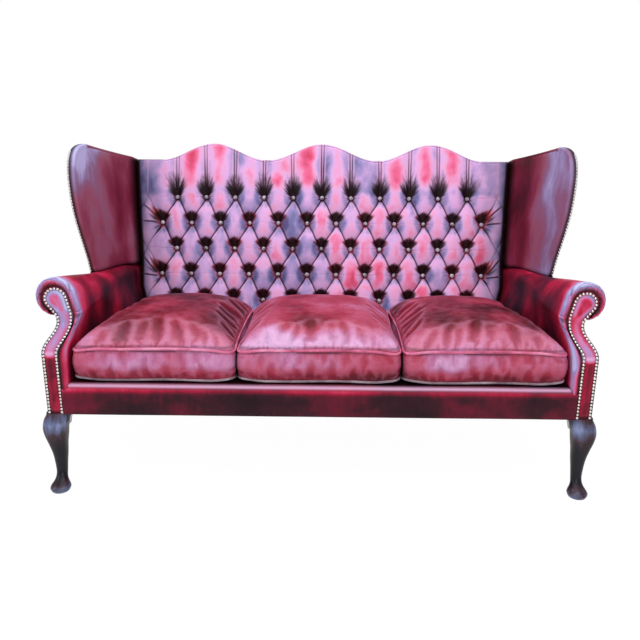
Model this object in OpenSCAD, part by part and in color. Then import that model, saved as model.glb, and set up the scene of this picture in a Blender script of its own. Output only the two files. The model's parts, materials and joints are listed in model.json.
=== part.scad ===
// High-back winged chesterfield with three loose seat cushions.
// The front faces -Y, +Z is up, and the origin is on the floor under the middle of the sofa.

/* [Overall] */
// Width over the arm scrolls
width = 1820; // [1780:10:1860]
// Depth from the toes of the front legs to the outside back
depth = 920; // [900:5:940]
// Height of the crests of the back
height = 1131; // [1110:1:1150]
// Height of the underside of the seat frame
leg_height = 262; // [245:1:280]

/* [Seat] */
// Height of the deck that the cushions lie on
deck_height = 371; // [368:1:376]
// Width of the centre seat cushion
cushion_width = 536; // [500:2:570]
// Height between a cushion's two lines of piping
band_height = 104; // [90:1:115]
// Rise of a cushion's crown above its top piping
crown_height = 88; // [60:1:100]
// Thickness of the seat cushions' piping
piping = 9; // [7:0.5:11]

/* [Back] */
// Rake of the back from upright, in degrees
rake = 15.5; // [13:0.1:16.5]
// Rise of the crests above the valleys of the top edge
crest_rise = 66; // [40:1:80]
// Distance between the rows of buttons, along the rake
row_pitch = 106; // [100:0.5:110]
// Height of the lowest row of buttons above the deck, along the rake
first_row = 146; // [135:1:155]
// Depth of the buttons below the crowns of the leather
tuft_depth = 22; // [16:1:24]
// Diameter of a back button
button_d = 18; // [15:0.5:21]

/* [Arms and wings] */
// Radius of the arm scroll at the front
scroll_radius = 64; // [60:1:66]
// Height of the top of the arm scroll at the front
arm_height = 711; // [700:1:722]
// Height of the arm where the wing stands on it
arm_rear_height = 657; // [652:1:664]
// Height of the wing's top corner
wing_height = 1119; // [1100:1:1130]
// Width of the facing between its two lines of nails, at the seat
facing_width = 53; // [50:1:56]
// Diameter of a decorative nail's head
nail_d = 9.5; // [8:0.5:10]
// Distance between decorative nails
nail_pitch = 11; // [10.5:0.5:13]

/* [Hidden] */

leather_red = "#5c1524";
leather_dark = "#38131c";
beech = "#c79a66";
mahogany = "#2c1614";
nail_metal = "#c9c2b4";
cloth_black = "#1d1b1c";
webbing_tan = "#9c7b52";
foam_cream = "#d9cfa8";
steel = "#8f9296";

// One overrun serves every cut
cut = 1;
// Gap between pieces that lie against each other
seam = 0.3;
// Thickness of a leather panel with its backing
leather = 3;
// Thickness of a frame board
board = 30;
// Facets on round pieces
round_fn = 40;

// Where the scroll, the facing and the seat edge lie across the sofa
scroll_overhang = 20;
arm_out = width / 2 - scroll_overhang;
arm_in = arm_out - facing_width;
arm_border = 22;
seat_front_half = arm_in - arm_border;
arm_taper = 91;
seat_rear_half = seat_front_half - arm_taper;
arm_rear_out = arm_out - 2 * scroll_overhang;

// Twelve pitches of buttons fill the back between the arms
back_side_gap = 2;
button_pitch = (seat_rear_half - 2 * back_side_gap) / 6;

// Where they lie from front to back
toe_y = -depth / 2;
toe_reach = 60;
facing_y = toe_y + toe_reach;
scroll_setback = 44;
scroll_y = facing_y + scroll_setback;
facing_thickness = 5;
stump_thickness = 28;

// Seat frame
cover_foot = leg_height + seam;
rail_bottom = leg_height + leather + seam;
webbing_thickness = 3;
pad_thickness = 18;
rail_top = deck_height - pad_thickness - webbing_thickness;
rail_height = rail_top - rail_bottom;

// Layers of the back, counted from the crowns of the leather backwards along the rake's normal
cover_rear = 30;
foam_front = cover_rear + seam;
foam_thickness = 14;
web_front = foam_front + foam_thickness + seam;
frame_front = 48;
frame_rear = frame_front + board;
back_rear = frame_rear + seam + leather;

top_edge_depth = 13;
crest_s = (height - deck_height + top_edge_depth * sin(rake)) / cos(rake);
back_y = depth / 2 - crest_s * sin(rake) - back_rear * cos(rake);

function lerp(a, b, t) = a + (b - a) * t;
function clamp(t) = min(1, max(0, t));
function smooth(t) = let (c = clamp(t)) c * c * (3 - 2 * c);
function bezier(p, t) = p[0] * pow(1 - t, 3) + 3 * p[1] * t * pow(1 - t, 2)
    + 3 * p[2] * t * t * (1 - t) + p[3] * pow(t, 3);
function bezier_path(p, steps) = [for (i = [0:steps]) bezier(p, i / steps)];
function arc_path(c, r, from, to, steps) =
    [for (i = [0:steps]) let (a = lerp(from, to, i / steps)) c + r * [cos(a), sin(a)]];

// A place in the raked back: x across, n backwards from the leather's crowns, s up the rake
function raked_point(x, n, s) = [x, back_y + s * sin(rake) + n * cos(rake),
    deck_height + s * cos(rake) - n * sin(rake)];
function raked_y(n, z) = back_y + (z - deck_height) * tan(rake) + n / cos(rake);
function raked_s(n, z) = (z - deck_height + n * sin(rake)) / cos(rake);

module raked() {
    translate([0, back_y, deck_height]) rotate([-rake, 0, 0]) children();
}

// Lengths along a path, and points at even steps on it
function path_sums(p) = [for (i = 0, s = 0; i < len(p); s = s + (i + 1 < len(p)
    ? norm(p[i + 1] - p[i]) : 0), i = i + 1) s];
function path_at(p, sums, d) = let (i = max([for (k = [0:len(p) - 2]) if (sums[k] <= d) k]))
    lerp(p[i], p[i + 1], (d - sums[i]) / (sums[i + 1] - sums[i]));
function even_points(p, pitch) = let (sums = path_sums(p), total = sums[len(p) - 1],
    count = floor(total / pitch)) [for (k = [0:count]) path_at(p, sums, total * k / count)];

// Triangles between two neighbouring rows of n points that start at a and b
function strip(a, b, n) = [for (i = [0:n - 2]) each [[a + i, b + i, b + i + 1],
    [a + i, b + i + 1, a + i + 1]]];

// A closed wall between an outer and an inner grid of points, with equal rows and columns
module slab(outer, inner) {
    rows = len(outer);
    cols = len(outer[0]);
    count = rows * cols;
    points = concat([for (r = outer) each r], [for (r = inner) each r]);
    outside = [for (r = [0:rows - 2]) each strip(r * cols, (r + 1) * cols, cols)];
    inside = [for (f = outside) [f[2] + count, f[1] + count, f[0] + count]];
    first = [for (c = [0:cols - 2]) each [[c, c + 1, count + c + 1], [c, count + c + 1, count + c]]];
    lastrow = (rows - 1) * cols;
    last = [for (f = first) [f[2] + lastrow, f[1] + lastrow, f[0] + lastrow]];
    near = [for (r = [0:rows - 2]) let (a = r * cols, b = a + cols)
        each [[a, b + count, b], [a, a + count, b + count]]];
    far = [for (f = near) [f[2] + cols - 1, f[1] + cols - 1, f[0] + cols - 1]];
    polyhedron(points, concat(outside, inside, first, last, near, far), convexity = 6);
}

function total(v, i = 0) = i < len(v) ? v[i] + total(v, i + 1) : [0, 0, 0];
function centre(ring) = total(ring) / len(ring);

// A closed body through a stack of rings, with a flat cap at each end
module ring_loft(rings) {
    n = len(rings[0]);
    last = (len(rings) - 1) * n;
    sides = [for (r = [0:len(rings) - 2], i = [0:n - 1]) let (a = r * n + i,
        b = r * n + (i + 1) % n) each [[a, a + n, b + n], [a, b + n, b]]];
    foot = last + n;
    caps = [for (i = [0:n - 1]) let (j = (i + 1) % n)
        each [[foot, i, j], [foot + 1, last + j, last + i]]];
    polyhedron(concat([for (r = rings) each r], [centre(rings[0]), centre(rings[len(rings) - 1])]),
        concat(sides, caps), convexity = 6);
}

// The arm's section is a straight foot, an S-shaped face, a low arc and the roll's arc, given as
// [[foot x, bend x, low x, roll x], [face z, foot bend z, top bend z, low z, roll z], [low r, roll r]].
low_drop = 57;
low_inset = 13;
face_z = 400;
face_bend_z = 520;
bend_rise = 20;
roll_x = width / 2 - scroll_radius;
roll_z = arm_height - scroll_radius;
roll_front = [[seat_front_half, seat_front_half - arm_border - leather, roll_x - low_inset, roll_x],
    [face_z, face_bend_z, face_bend_z + bend_rise, roll_z - low_drop, roll_z],
    [scroll_radius, scroll_radius]];

facing_inset = 26;
facing_rise = 2;
facing_drop = 7;
facing_low_r = scroll_radius - facing_inset;
facing_roll_r = facing_low_r + facing_rise;
knee_z = 468;
facing_bend = 32;
facing_section = [[arm_in, roll_x - low_inset - facing_low_r, roll_x - low_inset, roll_x],
    [knee_z, knee_z + facing_bend, face_bend_z, roll_z - low_drop, roll_z - facing_drop],
    [facing_low_r, facing_roll_r]];

rear_low_r = 42;
rear_roll_r = 54;
rear_face_lean = 27;
rear_roll_shift = 29;
rear_low_x = seat_rear_half + rear_face_lean + rear_low_r;
roll_rear = [[seat_rear_half, rear_low_x - rear_low_r, rear_low_x, rear_low_x + rear_roll_shift],
    [face_z, face_bend_z, face_bend_z + bend_rise, arm_rear_height - rear_low_r,
    arm_rear_height - rear_roll_r], [rear_low_r, rear_roll_r]];

// Share of the arm's length at which it has come down to the height under the wing
arm_slope_share = 0.55;
face_steps = 6;
low_steps = 3;
roll_steps = 12;
roll_end = -75;
facing_end = -45;

function roll_section(f) = let (g = clamp(f / arm_slope_share))
    [lerp(roll_front[0], roll_rear[0], f), lerp(roll_front[1], roll_rear[1], g),
    lerp(roll_front[2], roll_rear[2], g)];
function section_path(sec, end) = let (x = sec[0], z = sec[1], r = sec[2],
    low = [x[2], z[3]], roll = [x[3], z[4]], d = roll - low,
    touch = atan2(d[1], d[0]) + acos((r[0] - r[1]) / norm(d)))
    concat([[x[0], rail_top + seam]], bezier_path([[x[0], z[0]], [x[0], z[1]], [x[1], z[2]],
        [x[2] - r[0], z[3]]], face_steps),
        [for (i = [1:low_steps]) low + r[0] * [cos(lerp(180, touch, i / low_steps)),
            sin(lerp(180, touch, i / low_steps))]],
        arc_path(roll, r[1], touch, end, roll_steps));

// The facing sweeps forward from the scroll to its knee above the lower panel
sweep_top_z = 566;
function sweep(z) = -scroll_setback * smooth((sweep_top_z - z) / (sweep_top_z - knee_z));

// The arm's rear ends against the rear arm upright, and its roll against the outside back
upright_top = 548;
roll_start_z = 600;
roll_clear_z = 615;
function arm_rear_n(x, z) = x > rear_low_x ? frame_rear : lerp(frame_front - seam, frame_rear,
    clamp((z - roll_start_z) / (roll_clear_z - roll_start_z)));
function arm_y(x, z, f) = lerp(scroll_y + sweep(z), raked_y(arm_rear_n(x, z), z), f);

// Height of the top of the arm at a place across and along it
function arm_share(y) = clamp((y - scroll_y) / (raked_y(frame_rear, arm_rear_height) - scroll_y));
function dome(r, d) = sqrt(max(0, r * r - d * d));
function arm_top(x, y) = let (sec = roll_section(arm_share(y)), low = sec[0][2], roll = sec[0][3])
    x < low ? sec[1][3] + dome(sec[2][0], low - x)
    : x > roll ? sec[1][4] + dome(sec[2][1], x - roll)
    : lerp(sec[1][3] + sec[2][0], sec[1][4] + sec[2][1], (x - low) / (roll - low));

// Arm rail that the roll is built over, in its own rebate of the padding
arm_rail_width = 48;
arm_rail_thickness = 28;
arm_rail_inset = 28;
arm_rail_z = upright_top + seam;
arm_rail_front_x = roll_x - low_inset - scroll_radius + arm_rail_inset;
arm_rail_rear_x = rear_low_x - rear_low_r + arm_rail_inset;
pad_bend_z = 470;
pad_inside = 24;
function stepped(p, counts) = concat([p[0]], [for (i = [0:len(counts) - 1])
    for (k = [1:counts[i]]) lerp(p[i], p[i + 1], k / counts[i])]);
function pad_rear_path(f) = let (sec = roll_section(f), foot = sec[0][0] + arm_border,
    x0 = lerp(arm_rail_front_x, arm_rail_rear_x, f) - seam,
    x1 = x0 + arm_rail_width + 2 * seam, top = arm_rail_z + arm_rail_thickness + seam,
    side = sec[0][2] - sec[2][0] + pad_inside,
    end = [sec[0][3], sec[1][4]] + (sec[2][1] - leather) * [cos(roll_end), sin(roll_end)])
    stepped([[foot, rail_top + seam], [foot, pad_bend_z], [side, arm_rail_z - seam],
        [x0, arm_rail_z], [x0, top], [x1, top], [max(x1 + seam, end[0]), max(end[1], arm_rail_z)]],
        [4, 3, 1, 2, 8, 5]);

// Rings of the arm: share from facing to roll, place behind the scroll's face, share of length
lip = 1.5;
stump_rear = facing_thickness + stump_thickness + seam;
ARM_RINGS = [[0.12, -lip, 0], [0.5, -arm_border / 3, 0], [0.85, -arm_border / 5, 0],
    [1, arm_border / 3, 0], [1, stump_rear, 0], [1, stump_rear + lip, 0], [1, 0, 0.16],
    [1, 0, 0.34], [1, 0, arm_slope_share], [1, 0, 0.78], [1, 0, 1]];
stump_rings = 5;
stump_clear_section = [facing_section[0] - [seam, seam, 0, 0], facing_section[1],
    facing_section[2] + [seam, seam]];

// Hidden side of the arm's padding: round the stump, then over the arm's rail
function stump_side(share) = [for (p = section_path(stump_clear_section, facing_end))
    [p[0], arm_y(p[0], p[1], 0) + lerp(-lip, stump_rear, share), p[1]]];
function rail_side(f) = [for (p = pad_rear_path(f)) [p[0], arm_y(p[0], p[1], f), p[1]]];
function behind_stump() = let (a = stump_side(1), b = rail_side(0)) [for (i = [0:len(a) - 1])
    [b[i][0], max(a[i][1], b[i][1] + stump_rear) + lip, b[i][2]]];
module inside_arm() {
    color(leather_red) slab(
        [for (r = ARM_RINGS) let (sec = roll_section(r[2]))
            [for (p = section_path(lerp(facing_section, sec, r[0]), lerp(facing_end, roll_end, r[0])))
                [p[0], arm_y(p[0], p[1], r[2]) + r[1], p[1]]]],
        concat([for (i = [0:stump_rings - 1]) stump_side(i / (stump_rings - 1))],
            [behind_stump()], [for (i = [stump_rings + 1:len(ARM_RINGS) - 1])
            rail_side(ARM_RINGS[i][2])]));
}

// Outline of the facing, from its inner foot over the scroll and down its outer side
waist_inset = 61;
waist_x = width / 2 - waist_inset;
waist_z = 571;
waist_turn = 17;
sweep_turn = 44;
function facing_outer(inset) = let (
    start = [roll_x, roll_z - facing_drop] + facing_roll_r * [cos(facing_end), sin(facing_end)],
    waist = [waist_x - inset, waist_z], knee = [arm_out - inset, knee_z])
    concat(bezier_path([start, start - [waist_turn, waist_turn], waist + [0, waist_turn], waist],
        face_steps),
    [for (i = [1:face_steps]) bezier([waist, waist - [0, sweep_turn], knee + [0, sweep_turn],
        knee], i / face_steps)]);
function facing_outline(inset, foot) = concat([[arm_in, foot]],
    section_path(facing_section, facing_end),
    [for (i = [1:2 * face_steps]) facing_outer(inset)[i]], [[arm_out - inset, foot]]);

// Side profile of the facing's front, thickened backwards
sweep_steps = 16;
function front_profile(back, top, foot) = concat(
    [[scroll_y + back, top]], [for (i = [0:sweep_steps])
        let (z = lerp(sweep_top_z, knee_z, i / sweep_steps)) [scroll_y + sweep(z) + back, z]],
    [[facing_y + back, foot]]);
function front_band(back, thickness, foot) = let (a = front_profile(back, arm_height, foot),
    b = front_profile(back + thickness, arm_height, foot))
    concat(a, [for (i = [len(b) - 1:-1:0]) b[i]]);

// What lies between an outline seen from the front and a band seen from the side
module swept_front(outline, band) {
    intersection() {
        rotate([90, 0, 0]) translate([0, 0, -depth]) linear_extrude(2 * depth) polygon(outline);
        rotate([90, 0, 90]) linear_extrude(width) polygon(band);
    }
}

module arm_facing() {
    color(leather_dark) swept_front(facing_outline(0, cover_foot),
        front_band(0, facing_thickness, cover_foot - cut));
}

stump_inset = leather + 2 * seam + (arm_out - arm_rear_out) / 20;
module arm_stump() {
    color(beech) difference() {
        swept_front(facing_outline(stump_inset, cover_foot),
            front_band(facing_thickness + seam, stump_thickness - 2 * seam, cover_foot - cut));
        leg_bolt_hole(front_leg_x, front_bolt_y);
    }
}

// Round-headed nail on its base plane, pointing up
module nail_head() {
    r = nail_d / 2;
    rotate_extrude($fn = 16) polygon([[0, 0], [r, 0], [0.86 * r, 0.42 * r], [0.5 * r, 0.72 * r],
        [0, 0.82 * r]]);
}

nail_inset = 6;
nail_turn = 90;
nail_section = [facing_section[0] + [nail_inset, nail_inset, 0, 0], facing_section[1],
    facing_section[2] - [nail_inset, nail_inset]];
function inner_nail_path() = concat([[arm_in + nail_inset, cover_foot + nail_inset]],
    [for (p = section_path(nail_section, nail_turn)) if (p[1] >= knee_z) p]);
function outer_nail_path() = concat(arc_path([roll_x, nail_section[1][4]], nail_section[2][1],
    nail_turn - nail_step, facing_end, roll_steps / 2),
    [for (p = facing_outer(nail_inset)) if (p[1] < waist_z + waist_turn) p],
    [[arm_out - nail_inset, cover_foot + nail_inset]]);
function sweep_slope(z) = (sweep(z + lip) - sweep(z - lip)) / (2 * lip);

// A nail stands higher where the facing is hollow under its rim
function nail_seat(z) = seam + max(0, sweep_slope(z - nail_d / 2) - sweep_slope(z + nail_d / 2))
    * nail_d / 5;

nail_step = nail_pitch / nail_section[2][1] * 180 / PI;

module facing_nails(path) {
    color(nail_metal) for (p = even_points(path, nail_pitch))
        translate([p[0], scroll_y + sweep(p[1]), p[1]])
            rotate([90 - atan(sweep_slope(p[1])), 0, 0]) translate([0, 0, nail_seat(p[1])])
                nail_head();
}

// Outside arm: a leather panel from under the roll to the bottom of the side rail
panel_rows = 7;
panel_tuck = 16;
function outside_arm_path(f, inset) = let (sec = roll_section(f),
    top = [lerp(waist_x, sec[0][3] + panel_tuck, f),
        lerp(waist_z, upright_top - leather, clamp(f / arm_slope_share))],
    out = lerp(arm_out, arm_rear_out, f))
    [for (p = concat(bezier_path([top, top - [0, sweep_turn], [out, knee_z + sweep_turn],
        [out, knee_z]], face_steps), [[out, cover_foot]])) p - [inset, 0]];
function outside_arm_place(p, f) = [p[0], lerp(scroll_y + sweep(p[1]) + facing_thickness + cut,
    raked_y(frame_rear, p[1]), f), p[1]];
module outside_arm() {
    shares = [for (i = [0:panel_rows]) i / panel_rows];
    color(leather_dark) slab(
        [for (f = shares) [for (p = outside_arm_path(f, 0)) outside_arm_place(p, f)]],
        [for (f = shares) [for (p = outside_arm_path(f, leather)) outside_arm_place(p, f)]]);
}

// Frame boards of the arm and seat, seen from above
module plan_board(front_x, rear_x, thickness_x, y0, y1, z, h) {
    translate([0, 0, z]) linear_extrude(h)
        polygon([[front_x, y0], [front_x + thickness_x, y0], [rear_x + thickness_x, y1],
            [rear_x, y1]]);
}

stump_back_y = scroll_y + stump_rear;
lower_stump_back_y = facing_y + stump_rear;
function upright_y(z) = raked_y(frame_front, z);
tack_rail_height = 36;
tack_rail_thickness = 22;
function panel_x(y) = let (y0 = facing_y + facing_thickness, y1 = raked_y(frame_rear, cover_foot))
    lerp(arm_out, arm_rear_out, (y - y0) / (y1 - y0)) - leather - 2 * seam;
side_rail_x = panel_x(lower_stump_back_y) - board;
side_rail_rear_x = panel_x(upright_y(rail_bottom)) - board;

module side_rail() {
    color(beech) plan_board(side_rail_x, side_rail_rear_x, board, lower_stump_back_y,
        upright_y(rail_bottom) - seam, rail_bottom, rail_height);
}
module arm_tack_rail() {
    rear = upright_y(deck_height) - seam;
    color(beech) plan_board(seat_half(stump_back_y) + arm_border + leather,
        seat_half(rear) + arm_border + leather, tack_rail_thickness, stump_back_y, rear, deck_height,
        tack_rail_height);
}
module arm_top_rail() {
    color(beech) plan_board(arm_rail_front_x, arm_rail_rear_x, arm_rail_width,
        stump_back_y + lip + seam,
        raked_y(frame_rear, arm_rail_z) - seam, arm_rail_z, arm_rail_thickness);
}

// A board of the raked frame, between its outer face and the outside leather
raked_foot_s = raked_s(frame_front, cover_foot) - board;
post_inset = 4;
post_x = seat_rear_half - post_inset - board;
upright_foot_x = post_x + board + seam;
module raked_board(x0, x1, s0, s1) {
    raked() translate([x0, frame_front, s0]) cube([x1 - x0, board, s1 - s0]);
}
module between(foot, top) {
    intersection() {
        children();
        translate([-width, -depth, foot]) cube([2 * width, 2 * depth, top - foot]);
    }
}
module arm_upright() {
    out = arm_rear_out - leather - 2 * seam;
    top = raked_s(frame_rear, upright_top);
    knee = raked_s(frame_front, knee_z) - board / 3;
    color(beech) difference() {
        between(cover_foot, upright_top) raked_plate([[upright_foot_x, raked_foot_s],
            [out, raked_foot_s], [out, knee], [out - panel_tuck, top], [upright_foot_x, top]],
            frame_front, board);
        leg_bolt_hole(rear_leg_x, rear_leg_y);
    }
}

// Serpentine top edge of the back
valley_share = 0.315;
crest_share = 0.62;
valley_x = seat_rear_half * valley_share;
crest_x = seat_rear_half * crest_share;
top_roll = 14;
valley_z = height - crest_rise;
valley_s = crest_s - crest_rise / cos(rake);
function crest_wave(x) = let (a = abs(x)) a < valley_x ? (1 + cos(180 * a / valley_x)) / 2
    : a < 2 * crest_x - valley_x ? (1 + cos(180 * (a - crest_x) / (crest_x - valley_x))) / 2 : 0;
function top_s(x) = valley_s + (crest_s - valley_s) * crest_wave(x);
serpentine_steps = 48;
function serpentine(half, drop) = [for (i = [0:serpentine_steps])
    let (x = lerp(-half, half, i / serpentine_steps)) [x, top_s(x) - drop]];

top_rail_height = 90;
stile_reach = 55;
stile_x = seat_rear_half + stile_reach;
module raked_plate(outline, n, thickness) {
    raked() translate([0, n + thickness, 0]) rotate([90, 0, 0]) linear_extrude(thickness)
        polygon(outline);
}
module top_back_rail() {
    color(beech) raked_plate(concat([[stile_x, valley_s - top_rail_height],
        [-stile_x, valley_s - top_rail_height]], serpentine(stile_x, leather + 2 * seam)),
        frame_front, board);
}
module back_post() {
    color(beech) between(rail_bottom, height)
        raked_board(post_x, post_x + board, raked_foot_s, valley_s - top_rail_height - seam);
}
upright_x = 230;
upright_width = 45;
module back_uprights() {
    color(beech) between(rail_top + seam, height) for (side = [-1, 1])
        raked_board(side * upright_x - upright_width / 2, side * upright_x + upright_width / 2,
            raked_foot_s, valley_s - top_rail_height - seam);
}
lumbar_s = 70;
lumbar_height = 45;
module lumbar_rail() {
    color(beech) for (x = [[-post_x, -upright_x - upright_width / 2],
        [-upright_x + upright_width / 2, upright_x - upright_width / 2],
        [upright_x + upright_width / 2, post_x]])
        raked_board(x[0], x[1], lumbar_s, lumbar_s + lumbar_height);
}
back_rail_y = raked_y(frame_rear, rail_bottom) - board;
module back_seat_rail() {
    color(beech) translate([-post_x, back_rail_y, rail_bottom])
        cube([2 * post_x, board, rail_height]);
}
front_rail_y = facing_y + facing_thickness;
module front_rail() {
    color(beech) translate([-arm_in + seam, front_rail_y, rail_bottom])
        cube([2 * (arm_in - seam), board, rail_height]);
}
cross_rail_x = 270;
module cross_rails() {
    color(beech) for (side = [-1, 1])
        translate([side * cross_rail_x - board / 2, front_rail_y + board, rail_bottom])
            cube([board, back_rail_y - front_rail_y - board, rail_height - webbing_drop]);
}
webbing_drop = 20;
block = 75;
rail_taper = (side_rail_x - side_rail_rear_x)
    / (upright_y(rail_bottom) - seam - lower_stump_back_y);
function rail_inner_x(y) = side_rail_x - seam - rail_taper * (y - lower_stump_back_y);
module corner_blocks() {
    front = front_rail_y + board + seam;
    rear = back_rail_y - seam;
    color(beech) for (side = [0, 1]) mirror([side, 0, 0]) translate([0, 0, rail_bottom + seam])
        linear_extrude(rail_height - webbing_drop) {
            polygon([[rail_inner_x(front), front], [rail_inner_x(front) - block, front],
                [rail_inner_x(front) - block / 4, front + block],
                [rail_inner_x(front + block), front + block]]);
            polygon([[post_x - seam, rear], [post_x - seam, rear - block / 2],
                [post_x - block, rear]]);
        }
}

// Half width of the inside back, which follows the arms and then the wings
tuck_low_z = 500;
tuck_high_z = 620;
wing_spread = 53;
top_half = seat_rear_half + wing_spread;
function back_half(s) = let (z = deck_height + s * cos(rake), low = seat_rear_half - back_side_gap,
    high = seat_rear_half + rear_face_lean - back_side_gap)
    z < arm_rear_height ? lerp(low, high, smooth((z - tuck_low_z) / (tuck_high_z - tuck_low_z)))
    : lerp(high, top_half, clamp((z - arm_rear_height) / (valley_z - arm_rear_height)));

// Cover of the back. Columns are [button, kind]: the pleat left of a button, two places within its
// pleats, the pleat right of it, and two places on the crown between it and the next button.
button_side_count = 5;
button_rows = 5;
pit_half = 7;
back_foot_s = 14;
edge_fold = 9;
PAD_COLUMNS = concat([[-button_side_count - 1, 3], [-button_side_count - 1, 4], [-button_side_count - 1, 5]],
    [for (k = [-button_side_count:button_side_count], kind = [0:5]) [k, kind]], [[button_side_count + 1, 0]]);
pad_columns = len(PAD_COLUMNS) + 4;

// Depth shares of a pleat half way between buttons, and of the folds at the sides
pleat_mid_share = 0.55;
side_pleat_share = 0.2;
side_fold_share = 0.5;
foot_depth_share = 0.4;
edge_depth_share = 1.1;

// f is 0 at the odd rows of buttons and 1 at the even rows
function pleat_left(k, f) = k * button_pitch + lerp(-pit_half, pit_half - button_pitch / 2, f);
function pleat_right(k, f) = k * button_pitch + lerp(pit_half, button_pitch / 2 - pit_half, f);
function column_x(c, f) = let (k = c[0], kind = c[1])
    kind < 3 ? lerp(pleat_left(k, f), pleat_right(k, f), kind / 3)
    : lerp(pleat_right(k, f), pleat_left(k + 1, f), (kind - 3) / 3);
function bulge(a) = 1 - pow(1 - a, 2.3);
function is_pleat(c) = c[1] == 0 || c[1] == 3;
function column_depth(c, f) = abs(c[0]) > button_side_count && is_pleat(c)
    ? lerp(side_pleat_share, 1, f)
    : is_pleat(c) ? 1 - (1 - pleat_mid_share) * sin(180 * f)
    : 1 - bulge(c[1] < 3 ? f : 1 - f);

// Above the last row of buttons the pleats run straight up to the top edge
pleat_top_share = 0.2;
groove_top_share = 0.55;
function upper_depth(c, t) = abs(c[0]) > button_side_count && is_pleat(c) ? side_pleat_share
    : is_pleat(c) ? lerp(1, pleat_top_share, t)
    : c[1] < 3 ? lerp(1, groove_top_share, t) : 0;

// Rows of the cover's mesh, as [kind, share or place]
last_row_s = first_row + (button_rows - 1) * row_pitch;
PAD_ROWS = concat([[0, 0]], [for (i = [0:2 * (button_rows - 1)]) [1, i / 2]],
    [[2, 0.5], [2, 0.9], [3, 0]]);
function row_phase(i) = let (m = i % 2) m > 1 ? 2 - m : m;
function row_s(row, x) = row[0] == 0 ? back_foot_s
    : row[0] == 1 ? first_row + row[1] * row_pitch
    : row[0] == 2 ? lerp(last_row_s, top_s(x), row[1]) : top_s(x);
function pad_point(row, x, share) = [x, row[0] == 3 ? top_edge_depth + tuft_depth * share / 2
    : tuft_depth * share, row_s(row, x)];
function pad_row(row) = let (f = row[0] == 1 ? row_phase(row[1]) : 0,
    half = back_half(row[0] == 3 ? valley_s : row_s(row, top_half)),
    inner = [for (c = PAD_COLUMNS) let (x = column_x(c, f), end = half - 2 * edge_fold)
        pad_point(row, min(end, max(-end, x)), row[0] == 0 ? foot_depth_share
        : row[0] == 1 ? column_depth(c, f) : upper_depth(c, row[0] == 2 ? row[1] : 1))],
    side = row[0] == 1 ? side_fold_share * f : 0)
    concat([pad_point(row, -half, edge_depth_share), pad_point(row, edge_fold - half, side)],
        inner, [pad_point(row, half - edge_fold, side), pad_point(row, half, edge_depth_share)]);

module tufted_cover() {
    grid = [for (row = PAD_ROWS) pad_row(row)];
    cols = pad_columns;
    rows = len(grid);
    edge = concat([for (c = [0:cols - 1]) c], [for (r = [1:rows - 1]) r * cols + cols - 1],
        [for (c = [cols - 2:-1:0]) (rows - 1) * cols + c], [for (r = [rows - 2:-1:1]) r * cols]);
    front = [for (r = grid) each r];
    rear = [for (i = edge) [front[i][0], cover_rear, front[i][2]]];
    base = len(front);
    n = len(edge);
    walls = [for (i = [0:n - 1]) let (j = (i + 1) % n)
        each [[edge[i], edge[j], base + j], [edge[i], base + j, base + i]]];
    hub = base + n;
    panel = [for (i = [0:n - 1]) [hub, base + i, base + (i + 1) % n]];
    polyhedron(concat(front, rear, [[0, cover_rear, valley_s / 2]]), concat([for (r = [0:rows - 2])
        each strip(r * cols, (r + 1) * cols, cols)], walls, panel), convexity = 8);
}

// Places of the buttons in the raked back, as [x, s]
BUTTONS = [for (i = [0:button_rows - 1]) let (odd = i % 2)
    for (k = [-button_side_count - odd:button_side_count]) [(k + odd / 2) * button_pitch,
        first_row + i * row_pitch]];
button_dome = 5;

module tufted_back() {
    color(leather_red) raked() tufted_cover();
}
module back_buttons() {
    r = button_d / 2;
    color(leather_dark) raked() for (b = BUTTONS) translate([b[0], tuft_depth - seam, b[1]])
        rotate([90, 0, 0]) rotate_extrude($fn = round_fn) polygon([[0, 0], [0.92 * r, 0.4 * r],
            [r, 0.5 * r], [0.9 * r, 0.5 * r + 0.4 * button_dome],
            [0.6 * r, 0.5 * r + 0.75 * button_dome], [0, 0.5 * r + button_dome]]);
}
foam_half = post_x - board / 6;
module back_foam() {
    color(foam_cream) raked_plate(concat([[foam_half, back_foot_s], [-foam_half, back_foot_s]],
        serpentine(foam_half, 2 * top_roll)), foam_front, foam_thickness);
}
web_thickness = frame_front - web_front - seam;
strap_width = 50;
strap_pitch = 130;
module back_webbing() {
    count = floor((valley_s - top_rail_height / 2) / strap_pitch);
    color(webbing_tan) raked() for (i = [1:count]) translate([-post_x - board + cut, web_front,
        i * strap_pitch - strap_width])
            cube([2 * (post_x + board - cut), web_thickness, strap_width]);
}

// Outside back, with a lobe behind each arm's roll and a flange over the top rail
function wing_plane(y, z) = wing_x - wing_toe_in * y + wing_flare * (z - wing_foot);
function wing_outer_x(n, z) = wing_plane(raked_y(n, z), z) + wing_board + seam + leather;
lobe_turn = 60;
function outside_back_edge() = let (c = [roll_rear[0][3], roll_rear[1][2]], r = rear_roll_r)
    concat([[arm_rear_out, cover_foot]], arc_path(c, r, -lobe_turn, lobe_turn, roll_steps / 2),
        [[wing_outer_x(frame_rear, wing_foot), wing_foot + leather],
        [wing_outer_x(frame_rear, valley_z), valley_z]]);
module outside_back() {
    n = frame_rear + seam;
    right = [for (p = outside_back_edge()) [p[0], raked_s(n, p[1])]];
    left = [for (i = [len(right) - 1:-1:0]) [-right[i][0], right[i][1]]];
    top = serpentine(top_half, 0);
    under = serpentine(top_half, leather);
    color(leather_dark) {
        between(cover_foot, height) raked_plate(concat(left, right,
            [for (i = [len(top) - 1:-1:0]) top[i]]), n, leather);
        raked_plate(concat(top, [for (i = [len(under) - 1:-1:0]) under[i]]), foam_front,
            n - foam_front + cut);
    }
}

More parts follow.
